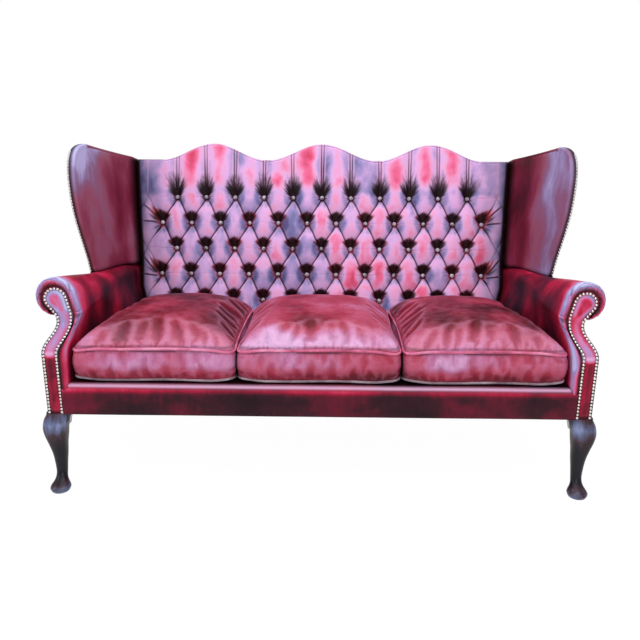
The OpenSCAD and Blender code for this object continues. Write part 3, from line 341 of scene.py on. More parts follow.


# each leather ramp runs from near-black, dye and painted shade, to pale lilac, a painted sheen; on the back
# the blue-purple low end is painted shade
hideTones = [(0.0, "#140810"), (0.18, "#37101e"), (0.36, "#74132c"), (0.52, "#b01a3c"), (0.66, "#d9466e"),
             (0.79, "#cc80b0"), (0.91, "#9d94cc"), (1.0, "#c4c0ea")]
backTones = [(0.0, "#5c5a8c"), (0.16, "#8480b4"), (0.32, "#b498cc"), (0.48, "#dcaee2"), (0.62, "#eaa4d0"),
             (0.8, "#ec6c98"), (1.0, "#cc3458")]
seatTones = [(0.0, "#28080f"), (0.2, "#520e18"), (0.4, "#801a2c"), (0.55, "#a22c44"), (0.7, "#b24660"),
             (0.85, "#ba7098"), (1.0, "#cfa4cc")]
wingTones = [(0.0, "#260a14"), (0.18, "#4e0f1e"), (0.36, "#741c34"), (0.5, "#86304a"), (0.64, "#985068"),
             (0.78, "#8c6284"), (0.9, "#9a88b4"), (1.0, "#b8b0dc")]
topPipingTones = [(0.0, "#8a3450"), (0.5, "#d0688c"), (1.0, "#f0a8c8")]
footPipingTones = [(0.0, "#4c3640"), (0.5, "#8c7882"), (1.0, "#b8a8b0")]

backLeather = antiquedLeather("antiqued leather, tufted back", backTones, patch=125, spread=1.4,
                              streak=(1.0, 1.0, 0.65), tufted=True)
armLeather = antiquedLeather("antiqued leather, arms", hideTones, patch=142.9, spread=1.3,
                             streak=(1.0, 1.0, 0.45))
wingLeather = antiquedLeather("antiqued leather, wings", wingTones, patch=222.2, spread=1.5,
                              streak=(1.0, 1.0, 0.5))
facingLeather = antiquedLeather("antiqued leather, facings", hideTones, patch=83.3, spread=0.9)
cushionLeather = antiquedLeather("worn leather, seat cushions", seatTones, patch=200, spread=0.75,
                                 streak=(0.7, 1.0, 0.8), rough=0.4, wrinkled=True)
outerLeather = antiquedLeather("antiqued leather, outside panels", hideTones, patch=222.2, spread=1.2)
borderLeather = antiquedLeather("antiqued leather, front border", hideTones, patch=125, spread=0.8,
                                streak=(0.45, 1.0, 1.0), gleamTone="#eeb8dc")
topPiping = antiquedLeather("worn leather, top piping", topPipingTones, patch=71.4)
footPiping = antiquedLeather("worn leather, foot piping", footPipingTones, patch=71.4)


# Polished hide stretched over a tin button: pale, with a clear waxed gloss
def polishedLeather():
    made, tree, shader, place = newMaterial("polished leather, buttons")
    rubbed = addNode(tree, "TexNoise", {"Vector": place, "Scale": perMetre(16.7), "Detail": 3})
    tone = addNode(tree, "ValToRGB", {"Fac": rubbed}, stops=[(0.35, "#5c4a58"), (0.6, "#b4a8b8")])
    feed(tree, shader, {"Base Color": tone, "Roughness": 0.2, "Coat Weight": 1, "Coat Roughness": 0.1})
    return made


# Bright nickel over stamped steel, a little hazed by handling
def nickelPlate():
    made, tree, shader, place = newMaterial("nickel-plated steel, nails")
    haze = addNode(tree, "TexNoise", {"Vector": place, "Scale": perMetre(11.1), "Detail": 2})
    tone = addNode(tree, "ValToRGB", {"Fac": haze}, stops=[(0.3, "#cfcbc4"), (0.7, "#f1efec")])
    rough = addNode(tree, "MapRange", {"Value": haze, "To Min": 0.12, "To Max": 0.3})
    feed(tree, shader, {"Base Color": tone, "Metallic": 1, "Roughness": rough})
    return made


# Planed timber: long grain up the piece, bare or under a clear coat
def timber(name, light, dark, rough, coat, grainSize):
    made, tree, shader, place = newMaterial(name)
    drawn = addNode(tree, "VectorMath", {0: place, 1: (1.0, 1.0, 0.08)}, operation="MULTIPLY")
    grain = addNode(tree, "TexNoise", {"Vector": drawn, "Scale": perMetre(grainSize), "Detail": 6,
                                       "Distortion": 0.6})
    tone = addNode(tree, "ValToRGB", {"Fac": grain}, stops=[(0.3, dark), (0.7, light)])
    bump = addNode(tree, "Bump", {"Height": grain, "Strength": 0.2, "Distance": 0.0008})
    gloss = addNode(tree, "MapRange", {"Value": grain, "To Min": rough, "To Max": rough + 0.12})
    feed(tree, shader, {"Base Color": tone, "Normal": bump, "Roughness": gloss, "Coat Weight": coat,
                        "Coat Roughness": 0.18})
    return made


# Turned and carved mahogany under dark polish, with a painted blue highlight where the leg's shine is high
def polishWithPaintedSheen():
    made, tree, shader, place = newMaterial("mahogany, carved legs")
    drawn = addNode(tree, "VectorMath", {0: place, 1: (1.0, 1.0, 0.3)}, operation="MULTIPLY")
    cloud = addNode(tree, "TexNoise", {"Vector": drawn, "Scale": perMetre(35.7), "Detail": 6,
                                       "Roughness": 0.6})
    polish = addNode(tree, "Attribute", attribute_name="polish").outputs["Fac"]
    level = mathNode(tree, "MULTIPLY_ADD", cloud, 1.1, polish)
    level = mathNode(tree, "SUBTRACT", level, 0.55, use_clamp=True)
    tone = addNode(tree, "ValToRGB", {"Fac": level},
                   stops=[(0.0, "#0b0a10"), (0.3, "#16121c"), (0.5, "#2e1c24"), (0.62, "#46323c"),
                          (0.8, "#5e6484"), (1.0, "#8c96bc")])
    bump = addNode(tree, "Bump", {"Height": cloud, "Strength": 0.25, "Distance": 0.001})
    feed(tree, shader, {"Base Color": tone, "Normal": bump, "Roughness": 0.4, "Specular IOR Level": 0.25,
                        "Coat Weight": 0.1, "Coat Roughness": 0.2})
    return made


# Plain weave, drawn thread by thread: matt, with dark between the threads
def weave(name, light, dark, thread):
    made, tree, shader, place = newMaterial(name)
    warp, weft = (addNode(tree, "TexWave", {"Vector": place, "Scale": perMetre(thread) / math.tau},
                          bands_direction=way).outputs["Fac"] for way in "XY")
    both = mathNode(tree, "MULTIPLY", warp, weft)
    tone = addNode(tree, "ValToRGB", {"Fac": both}, stops=[(0.0, dark), (0.8, light)])
    bump = addNode(tree, "Bump", {"Height": both, "Strength": 0.4, "Distance": 0.0006})
    feed(tree, shader, {"Base Color": tone, "Normal": bump, "Roughness": 0.9})
    return made


# Zinc-coated spring steel: grey, with the coating's spangle
def zincSteel():
    made, tree, shader, place = newMaterial("zinc-coated steel")
    spangle = addNode(tree, "TexVoronoi", {"Vector": place, "Scale": perMetre(6.25)})
    tone = addNode(tree, "ValToRGB", {"Fac": spangle}, stops=[(0.1, "#8d9094"), (0.8, "#b4b7ba")])
    feed(tree, shader, {"Base Color": tone, "Metallic": 1, "Roughness": 0.4})
    return made


polishedMahogany = polishWithPaintedSheen()
mahogany = timber("mahogany, dark polish", "#3a1d1c", "#150b0e", 0.22, 0.7, 33.3)
beechWood = timber("beech, planed", "#cda270", "#b48654", 0.55, 0, 25)
buttonLeather = polishedLeather()
nickel = nickelPlate()
steel = zincSteel()
juteWebbing = weave("jute webbing", "#a98a60", "#5d472e", 3)
deckCloth = weave("hessian seat cloth", "#33262a", "#120c0e", 2)
dustCloth = weave("spun dust cloth", "#232123", "#0d0c0d", 2)
felt = weave("cotton felt", "#d9d0b4", "#a89d80", 4)
print("materials made", len(bpy.data.materials))


# Arms: main sizes, and their sections where the roll starts, at the facing and at the back. A section
# holds x places, z places and the two radii of the throat and the roll.
arm = dict(facingY=-400, scrollY=-356, setback=44, sweepTop=566, knee=468, inside=837, outside=890,
           rearOutside=850, rearHeight=657, postTop=600, slopeShare=0.55, skin=6, tuckPitch=9.5,
           tuckHeight=1.7, puff=2.2)
rollFront = [np.array([815, 790, 833, 846.]), np.array([400, 520, 540, 590, 647.]), np.array([64, 64.])]
facingSection = [np.array([837, 795, 833, 846.]), np.array([468, 500, 520, 590, 640.]), np.array([38, 40.])]
rollRear = [np.array([724, 751, 793, 822.]), np.array([400, 520, 540, 615, 603.]), np.array([42, 54.])]


def sectionPath(section, end, counts=(6, 22, 8, 34)):
    x, z, r = section
    low, roll = np.array([x[2], z[3]]), np.array([x[3], z[4]])
    d = roll - low
    touch = math.degrees(math.atan2(d[1], d[0]) + math.acos(min(1, (r[0] - r[1]) / np.linalg.norm(d))))
    straight = upright(x[0], seat["railTop"] + gap, z[0], counts[0] + 1)[:-1]
    face = bezier([[x[0], z[0]], [x[0], z[1]], [x[1], z[2]], [x[2] - r[0], z[3]]], counts[1])
    return np.concatenate([straight, face, arc(low, r[0], 180, touch, counts[2])[1:],
                           arc(roll, r[1], touch, end, counts[3])])


# Tufted back
tuft = dict(pitch=120, row=106, first=146, rows=5, out=5, depth=22, button=18, foot=14, sunk=5.2)
pleat = dict(half=2.5, topHalf=5, midShare=0.5, creaseDepth=4.5, creaseWidth=2.2, ridge=1.8, ridgeAt=6.5,
             ridgeWidth=2.6, crownPower=2.6, wrinkle=0.9, sway=2.2, topSway=3, puff=2.2)
back = dict(byArm=4, armFaceEnd=770, byWingLow=27, byWingHigh=53, armEnds=540, blend=90, sideRoll=26,
            topRoll=16, rear=29.5, fadeLow=668, fadeTop=640, fadeOver=40)
# Folds that fan out from the outer buttons to the wings: angle above level, length, strength
fans = [(58, 100, 0.7), (44, 120, 1.0), (30, 80, 0.5), (2, 90, 0.9), (-38, 60, 0.6), (-62, 50, 0.4)]
lastRowS = tuft["first"] + (tuft["rows"] - 1) * tuft["row"]
# Each button's row, and its place along the row in pitches
tufts = [(i, k + (i % 2) / 2) for i in range(tuft["rows"])
         for k in range(-tuft["out"] - i % 2, tuft["out"] + 1)]


def backHalf(z):  # half width of the inside back, which meets the arms and then the wings
    face = sectionPath(rollRear, 90)
    face = face[face[:, 0] < back["armFaceEnd"]]
    byArm = np.interp(z, face[:, 1], face[:, 0]) + back["byArm"]
    share = np.clip((z - arm["rearHeight"]) / (valleyZ - arm["rearHeight"]), 0, 1)
    byWing = seat["rearHalf"] + lerp(back["byWingLow"], back["byWingHigh"], share)
    return lerp(np.minimum(byArm, byWing), byWing, smooth((z - back["armEnds"]) / back["blend"]))


def drift(s):  # the pleats are slightly S-curved
    return pleat["sway"] * np.sin((s - tuft["first"]) / tuft["row"] * 2 * np.pi)


def topDrift(k, t):
    return pleat["topSway"] * t * np.sin(2.3 * k + 1)


def pleatEdges(k, f, t):  # left and right edges of pleat k at share f of its row, or t of the way to the top
    half = lerp(pleat["half"], pleat["topHalf"], t)
    middle = k * tuft["pitch"] + topDrift(k, t)
    reach = lerp(half, tuft["pitch"] / 2 - half, f)
    return middle - reach, middle + reach


def crown(w):
    return 1 - np.abs(1 - 2 * w) ** pleat["crownPower"]


def fraction(values):
    return values - np.floor(values)


def tuftShape(x, s, top):  # depth below the crowns, and what the leather shows at that place
    p, r = tuft["pitch"], tuft["row"]
    across, along = (x + drift(s)) / (p / 2), (s - tuft["first"]) / r
    a, b = (across + along) / 2, (along - across) / 2
    u, v = fraction(a), fraction(b)
    side = p * r / math.hypot(p / 2, r)
    middle = crown(u) * crown(v)
    pinch = np.abs(np.cos(np.pi * u) * np.cos(np.pi * v)) ** 1.5
    lattice = (1 - middle) * lerp(pleat["midShare"], 1, pinch)
    lineAt = np.minimum(np.minimum(u, 1 - u), np.minimum(v, 1 - v)) * side
    lowAt = np.minimum(1 - u, 1 - v) * side
    # straight pleats above the last row and below the first
    up = np.clip((s - lastRowS) / (top - lastRowS), 0, 1)
    down = np.clip((tuft["first"] - s) / tuft["first"], 0, 1)
    k = np.round(x / p)
    off = x - k * p - topDrift(k, up)
    w = np.clip(off / p + np.where(off < 0, 1, 0), 0, 1)
    channel = (1 - crown(w) ** 0.8) * np.where(up > 0, lerp(1, 0.25, up ** 0.7), lerp(1, 0.5, down))
    straight = np.maximum(smooth(up / 0.16), smooth(down / 0.25))
    half = lerp(pleat["half"], pleat["topHalf"], up)
    depth = lerp(lattice, channel, straight)
    lineAt = lerp(lineAt, np.abs(np.abs(off) - half * smooth(up / 0.1)), straight)
    lowAt = lerp(lowAt, np.abs(off) - half, straight)
    # the pattern dies away beyond the outer buttons
    past = np.abs(x) - lerp(back["fadeLow"], back["fadeTop"], up)
    fade = 1 - lerp(0.75, 1, straight * (up > 0)) * smooth(past / back["fadeOver"])
    depth = depth * fade
    crease = bell(lineAt, pleat["creaseWidth"] * lerp(1, 0.6, up)) * fade * lerp(1, 0.8, up)
    ridge = bell(lowAt - pleat["ridgeAt"], pleat["ridgeWidth"]) * fade
    other = bell(lineAt - pleat["ridgeAt"], pleat["ridgeWidth"]) * fade
    total = tuft["depth"] * depth + pleat["creaseDepth"] * crease * lerp(1, 0.5, up) * (1 - 0.6 * pinch)
    total -= pleat["ridge"] * ridge * (1 - pinch)
    gleam = np.clip(0.75 * ridge + 0.3 * other, 0, 1) * (1 - 0.5 * pinch)
    gleam = np.maximum(gleam, 0.8 * straight * smooth(up / 0.15) * bell(off, half * 0.7))
    # each diamond has its own tone; deeper in, the tone falls to blue-purple, painted shade in the hollows;
    # the top panels are reddest in their middles and at the crests, painted light on the puffed leather, and
    # darker by their pleats, painted shade
    chance = fraction(np.sin(np.floor(a) * 12.9898 + np.floor(b) * 78.233) * 43758.5453)
    panel = np.sin(np.pi * w) ** 2 * smooth(up * 2.6) * fade
    hot = (top - valleyS) / (crestS - valleyS)
    polish = lerp(0.54 + 0.34 * (chance - 0.5) * middle - 0.3 * depth ** 1.2, 0.42, straight)
    polish += (0.14 + 0.16 * hot) * panel - 0.12 * straight * (1 - panel)
    # painted shade in the creases, and by depth in the hollows
    return total, np.clip(crease + 0.22 * depth ** 1.4, 0, 1), gleam, polish


def nearestButton(x, s):  # place from it, its seed and its streaks' warmth, distance, lead over the next one
    first = np.full(x.shape, 1e9)
    second = np.full(x.shape, 1e9)
    dx, ds, seed, tip = (np.zeros(x.shape) for _ in range(4))
    for i, k in tufts:
        ax, az = x - k * tuft["pitch"], s - tuft["first"] - i * tuft["row"]
        far = np.hypot(ax, az)
        nearer = far < first
        second = np.where(nearer, first, np.minimum(second, far))
        first = np.where(nearer, far, first)
        chance = (k * 0.618 + i * 0.371) % 1
        warm = 0.0 if i == tuft["rows"] - 1 else 0.2 + 0.8 * ((k * 0.755 + i * 0.57) % 1)
        dx, ds = np.where(nearer, ax, dx), np.where(nearer, az, ds)
        seed, tip = np.where(nearer, chance * 40, seed), np.where(nearer, warm, tip)
    return dx, ds, seed, tip, first, second - first


def fanFolds(x, s):  # ridges and creases from the outer buttons of the second and fourth rows
    ridge, crease, fanShade = (np.zeros(x.shape) for _ in range(3))
    for row in (1, 3):
        ax = np.abs(x) - (tuft["out"] + 0.5) * tuft["pitch"]
        az = s - tuft["first"] - row * tuft["row"]
        # painted shade in the hollow next to each outer button
        fanShade += bell(np.hypot((ax - 16) / 1.4, az - 22), 19)
        for angle, length, strength in fans:
            a = math.radians(angle)
            run = ax * math.cos(a) + az * math.sin(a)
            off = az * math.cos(a) - ax * math.sin(a) + 5 * np.sin(run / 38 + row)
            reach = smooth((run - 10) / 14) * smooth((length - run) / 35) * strength
            ridge = np.maximum(ridge, reach * bell(off - 1, 3.4))
            crease = np.maximum(crease, reach * bell(off + 5, 2.6))
    return ridge, crease, fanShade


def bunched(count, share):  # places from 0 to 1, closer together at both ends
    t = np.linspace(0, 1, count)
    return lerp(t, 0.5 - 0.5 * np.cos(np.pi * t), share)


def backRow(s, f, t):  # one row of the cover's grid, with its columns on the pleats' edges
    out = tuft["out"]
    edgeS = s if s is not None else lerp(lastRowS, valleyS, t)
    edge = float(backHalf(sofa["deck"] + edgeS * rakeCos))
    sway = drift(s) if s is not None else 0.0
    pleats = [pleatEdges(k, f, t or 0.0) for k in range(-out - 1, out + 2)]
    stops = [-edge, pleats[0][1] - sway]
    for left, right in pleats[1:-1]:
        stops += [left - sway, right - sway]
    stops += [pleats[-1][0] - sway, edge]
    shares = [bunched(29, 0.4)] + [bunched(15, 1)] * (len(stops) - 3) + [bunched(29, 0.4)]
    return edge, np.concatenate([lerp(a, b, c[:-1]) for a, b, c in zip(stops, stops[1:], shares)] + [[edge]])


def buildBack():
    rows = [(s, 0.0, None) for s in np.linspace(tuft["foot"], tuft["first"], 14)[:-1]]
    for i in range(tuft["rows"] - 1):
        rows += [(tuft["first"] + (i + t) * tuft["row"], t if i % 2 == 0 else 1 - t, None)
                 for t in bunched(27, 0.6)[:-1]]
    rows += [(None, 0.0, t) for t in 1 - (1 - np.linspace(0, 1, 44)) ** 1.5]
    grid, look = [], []
    for s, f, t in rows:
        edge, x = backRow(s, f, t)
        top = topS(x)
        sv = np.full_like(x, s) if s is not None else lerp(lastRowS, top, t)
        depth, crease, gleam, polish = tuftShape(x, sv, top)
        # rolls back at the side and top edges
        toSide = edge - np.abs(x)
        atSide = np.clip(1 - toSide / back["sideRoll"], 0, 1)
        depth = depth + (back["sideRoll"] - depth) * (1 - np.sqrt(1 - atSide ** 2))
        atTop = np.clip(1 - (top - sv) / back["topRoll"], 0, 1)
        depth = depth + (back["topRoll"] - depth) * (1 - np.sqrt(1 - atTop ** 2))
        seam = 0.6 * bell(top - sv - 8, 1.4)
        shade = smooth((atSide - 0.02) * 1.2)
        shade = shade + 0.4 * smooth(1 - toSide / 55) + 0.42 * smooth(1 - toSide / 190)
        gleam = gleam + 0.5 * atTop * (1 - atSide)
        grid.append(np.stack([x, depth, sv], -1))
        look.append(np.stack([crease, gleam, polish, np.maximum(seam, shade)], -1))
    # the cover turns over the top edge and back to the foam
    rear = grid[-1]
    for n, drop in ((19, 0.6), (24, 0.9), (back["rear"], 1.0)):
        grid.append(np.column_stack([rear[:, 0], np.maximum(n, rear[:, 1]), rear[:, 2] - drop]))
        look.append(look[-1])
    grid, look = np.array(grid), np.array(look)
    x, n, s = np.moveaxis(grid, -1, 0)
    crease, gleam, polish, shade = np.moveaxis(look, -1, 0)
    dx, ds, seed, tip, far, margin = nearestButton(x, s)
    mask = smooth((margin - 27) / 14)
    # puckers that gather round each button, level creases between neighbours, and soft lumps
    n = n + 0.9 * np.cos(11 * np.arctan2(dx, ds) + seed) * bell(far - 17, 8)
    n = n + pleat["wrinkle"] * bell(ds + 2.2 * np.sin(0.12 * dx + seed), 2.2) * smooth((np.abs(dx) - 12) / 14)
    ridge, groove, fanShade = fanFolds(x, s)
    atEdge = smooth((1 - np.clip(shade, 0, 1)) * 2)
    n = n + atEdge * (3.0 * groove - 2.6 * ridge)
    lumps = noiseAt(grid.reshape(-1, 3), 1 / 90, 3.1).reshape(n.shape)
    n = n + pleat["puff"] * lumps * (1 - crease)
    hidden = rakedPoint(x, np.maximum(n + 1.5, back["rear"]), np.clip(s, tuft["foot"] + 1, None) - 1)
    points, faces = slab(rakedPoint(x, n, s), hidden)
    # painted shade in the creases, along the sides, in the fans' creases and by the outer buttons; painted
    # highlights on the fans' ridges; round each button and at the sides the tone drops, painted shade
    fold = np.clip(0.92 * crease + 0.95 * shade + 0.75 * groove * atEdge + 0.7 * fanShade, 0, 1)
    gleam = np.clip(gleam * 0.85 + 0.8 * ridge * atEdge, 0, 1) * (1 - np.clip(shade, 0, 1))
    ring = bell(far - 30, 14) * smooth(np.abs(dx) / 14) * mask
    polish = polish + 0.04 - 0.28 * ring - 0.5 * np.clip(shade, 0, 0.8)
    tuftPlace = np.stack([dx / 1000, ds / 1000, mask], -1)
    fields = shown(fold=fold, gleam=gleam, polish=polish, tuftPlace=tuftPlace, tuftSeed=seed, tuftTip=tip)
    cover = addPiece("tufted_back_cover", points, faces, backLeather, replaces=["tufted_back"],
                     slot="tufted_leather", fields=fields)
    print("tufted back", len(cover.data.polygons))


buildBack()


# What repeats: buttons and nails, domed heads that one Geometry Nodes tree sets on points or along a path
def headTree():
    tree = bpy.data.node_groups.new("domedHeads", "GeometryNodeTree")
    inputs = {"Geometry": "Geometry", "Radius": "Float", "Rise": "Float", "Spacing": "Float",
              "Along Path": "Bool", "Finish": "Material"}
    for name, kind in inputs.items():
        tree.interface.new_socket(name, in_out="INPUT", socket_type="NodeSocket" + kind)
    tree.interface.new_socket("Geometry", in_out="OUTPUT", socket_type="NodeSocketGeometry")
    given = addNode(tree, "NodeGroupInput").outputs
    curve = addNode(tree, "GeometryNodeMeshToCurve", {"Mesh": given["Geometry"]})
    stepped = addNode(tree, "GeometryNodeResampleCurve", {"Curve": curve, "Length": given["Spacing"]},
                      mode="LENGTH")
    picked = addNode(tree, "GeometryNodeSwitch", {"Switch": given["Along Path"], "False": given["Geometry"],
                                                  "True": stepped}, input_type="GEOMETRY")
    ball = addNode(tree, "GeometryNodeMeshUVSphere", {"Segments": 12, "Rings": 8, "Radius": given["Radius"]})
    scale = addNode(tree, "CombineXYZ", {0: 1.0, 1: 1.0, 2: given["Rise"]})
    dome = addNode(tree, "GeometryNodeTransform", {"Geometry": ball, "Scale": scale})
    soft = addNode(tree, "GeometryNodeSetShadeSmooth", {"Geometry": dome})
    facing = addNode(tree, "GeometryNodeInputNamedAttribute", {"Name": "facing"}, data_type="FLOAT_VECTOR")
    turned = addNode(tree, "FunctionNodeAlignRotationToVector", {"Vector": facing}, axis="Z")
    wobble = addNode(tree, "FunctionNodeRandomValue", {"Seed": 7, "Min": 0.96, "Max": 1.04},
                     data_type="FLOAT").outputs[1]
    placed = addNode(tree, "GeometryNodeInstanceOnPoints", {"Points": picked, "Instance": soft,
                                                            "Rotation": turned, "Scale": wobble})
    real = addNode(tree, "GeometryNodeRealizeInstances", {"Geometry": placed})
    done = addNode(tree, "GeometryNodeSetMaterial", {"Geometry": real, "Material": given["Finish"]})
    addNode(tree, "NodeGroupOutput", {0: done})
    return tree


headsTree = headTree()


def evaluated(obj):  # a plain mesh of the object with its modifiers applied
    return bpy.data.meshes.new_from_object(obj.evaluated_get(bpy.context.evaluated_depsgraph_get()))


def addHeads(name, points, facing, radius, rise, finish, node, spacing=None):
    mesh = bpy.data.meshes.new(name + "_path")
    edges = [(i, i + 1) for i in range(len(points) - 1)] if spacing else []
    mesh.from_pydata((np.asarray(points) / 1000).tolist(), edges, [])
    layer = mesh.attributes.new("facing", "FLOAT_VECTOR", "POINT")
    layer.data.foreach_set("vector", np.asarray(facing, np.float32).ravel())
    carrier = bpy.data.objects.new(name + "_carrier", mesh)
    bpy.context.scene.collection.objects.link(carrier)
    step = carrier.modifiers.new("heads", "NODES")
    step.node_group = headsTree
    values = {"Radius": radius / 1000, "Rise": rise, "Spacing": (spacing or 1) / 1000,
              "Along Path": bool(spacing), "Finish": finish}
    for item in headsTree.interface.items_tree:
        if item.in_out == "INPUT" and item.name in values:
            step[item.identifier] = values[item.name]
    heads = evaluated(carrier)
    bpy.data.objects.remove(carrier)
    heads.name = name
    piece = bpy.data.objects.new(name, heads)
    bpy.context.scene.collection.objects.link(piece)
    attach(piece, "frame")
    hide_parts(node)


def buildButtons():
    places = [rakedPoint(k * tuft["pitch"], tuft["depth"] - tuft["sunk"], tuft["first"] + i * tuft["row"])
              for i, k in tufts]
    addHeads("back_button_heads", places, [[0, -rakeCos, rakeSin]] * len(places), tuft["button"] / 2, 0.62,
             buttonLeather, "back_buttons")
    print("buttons", len(places))


buildButtons()

nails = dict(radius=4.75, rise=0.62, pitch=11, inset=6, foot=268.3)


def nailRow(name, node, path, facing, length):  # evenly spaced along a path, and mirrored to the left
    spacing = length / math.floor(length / nails["pitch"])
    for side, places, normals in (("right", path, facing), ("left", mirrored(path), mirrored(facing))):
        addHeads(f"{name}_{side}", places, normals, nails["radius"], nails["rise"], nickel, f"{node}_{side}",
                 spacing)


# Arms
def mixSections(a, b, t):
    return [lerp(p, q, t) for p, q in zip(a, b)]


def rollSection(f):  # section at share f from the scroll to the back; the heights fall faster than the widths
    g = min(1, max(0, f / arm["slopeShare"]))
    return [lerp(rollFront[i], rollRear[i], t) for i, t in enumerate((f, g, g))]


def sweep(z):  # how far the facing stands before the scroll, below it
    return -arm["setback"] * smooth((arm["sweepTop"] - z) / (arm["sweepTop"] - arm["knee"]))


def armY(x, z, f):
    n = lerp(sofa["frameFront"] - gap, sofa["frameRear"], np.clip((z - arm["postTop"]) / 15, 0, 1))
    n = np.where(x > rollRear[0][2], sofa["frameRear"], n)
    return lerp(arm["scrollY"] + sweep(z), rakedY(n, z), f)


def armTop(x, y):
    f = np.clip((y - arm["scrollY"]) / (rakedY(sofa["frameRear"], arm["rearHeight"]) - arm["scrollY"]), 0, 1)
    (_, _, low, roll), z, (r0, r1) = rollSection(float(f))
    if x < low:
        return z[3] + math.sqrt(max(0, r0 * r0 - (low - x) ** 2))
    if x > roll:
        return z[4] + math.sqrt(max(0, r1 * r1 - (x - roll) ** 2))
    return lerp(z[3] + r0, z[4] + r1, (x - low) / (roll - low))


def buildArms():
    # the roll turns over to the nails at the front: share from facing to roll, and place behind the face
    turn = np.linspace(0, 1, 15)
    shares = 0.12 + 0.88 * np.sin(turn * np.pi / 2) ** 0.9
    backs = -1.5 - 6.5 * np.sin(np.clip(turn * 1.45, 0, 1) * np.pi) + 16 * turn ** 3
    turned, length = 38, 700
    rings = [(share, min(behind, 0), max(behind, 0) / length, turned * t)
             for share, behind, t in zip(shares, backs, turn)]
    rings += [(1, 0, f, turned + f * length - backs[-1]) for f in np.linspace(backs[-1] / length, 1, 50)[1:]]
    outer, inner, fold, polish = [], [], [], []
    for share, behind, f, away in rings:
        path = sectionPath(mixSections(facingSection, rollSection(f), share), lerp(-45, -75, share))
        x, z = path[:, 0], path[:, 1]
        along = np.concatenate([[0], np.cumsum(np.linalg.norm(np.diff(path, axis=0), axis=1))])
        y = armY(x, z, f) + behind
        nx, nz = np.gradient(x), np.gradient(z)
        size = np.hypot(nx, nz)
        nx, nz = -nz / size, nx / size
        # tucks gather the cover round the head of the scroll
        gather = bell(away - 18, 19) * smooth((z - 525) / 45)
        wave = np.cos(along / arm["tuckPitch"] * 2 * np.pi + 2.2 * np.sin(along / 31))
        tuck = arm["tuckHeight"] * gather * wave
        lump = noiseAt(np.column_stack([x / 130, y / 90, z / 130]), 1.0)
        rise = tuck + arm["puff"] * lump * smooth((away - 40) / 60)
        outer.append(np.column_stack([x + nx * rise, y - 0.4 * np.abs(tuck), z + nz * rise]))
        inner.append(np.column_stack([x - nx * arm["skin"], y + 4 * (away < turned), z - nz * arm["skin"]]))
        # painted shade in the strip by the nails, in the tucks' hollows and towards the back; a painted sheen
        # in a band round the front turn and on the top; darker towards the bottom
        nearRear = smooth((f - 0.84) / 0.16)
        fold.append(0.95 * bell(away, 7) + 0.6 * gather * (tuck < -0.7) + 0.8 * nearRear + np.zeros(len(x)))
        band = 0.4 * bell(away - 27, 17) + 0.3 * bell(away, 150)
        sheen = 0.16 * smooth((z - 610) / 50) + 0.1 * bell(z - 560, 50)
        polish.append(0.22 + band + sheen * (1 - nearRear) - 0.15 * smooth((460 - z) / 60))
    points, faces = slab(np.array(outer), np.array(inner))
    bothSides("arm_cover", points, faces, armLeather, replaces=["inside_arm"], slot="tufted_leather",
              fields=shown(fold=np.clip(fold, 0, 1), polish=np.array(polish)))


buildArms()
print("arms")

# Arm facings: padded panels between two rows of nails. The outer edge is drawn in at a waist
facingPanel = dict(waistX=849, waistZ=571, thickness=4.8, puff=4, puffFrom=11, groove=0.8, scrollFoot=588,
                   meshStep=4)


def facingOuter(inset=0, end=-45):
    centre, radius = (facingSection[0][3], facingSection[1][4]), facingSection[2][1]
    start = arc(centre, radius, end, end, 1)[0]
    waist = np.array([facingPanel["waistX"] - inset, facingPanel["waistZ"]])
    knee = np.array([arm["outside"] - inset, arm["knee"]])
    return np.concatenate([bezier([start, start - [17, 17], waist + [0, 17], waist], 18),
                           bezier([waist, waist - [0, 44], knee + [0, 44], knee], 18)[1:]])


def edgeDistance(points, outline):
    best = np.full(len(points), 1e9)
    for a, b in zip(outline, np.roll(outline, -1, axis=0)):
        d = b - a
        t = np.clip(((points - a) @ d) / max(1e-9, d @ d), 0, 1)
        best = np.minimum(best, np.linalg.norm(points - a - t[:, None] * d, axis=1))
    return best


def insideOf(points, outline):
    inside = np.zeros(len(points), bool)
    for (x0, z0), (x1, z1) in zip(outline, np.roll(outline, -1, axis=0)):
        if z0 == z1:
            continue
        crosses = (points[:, 1] > min(z0, z1)) & (points[:, 1] <= max(z0, z1))
        inside ^= crosses & (points[:, 0] < x0 + (points[:, 1] - z0) * (x1 - x0) / (z1 - z0))
    return inside


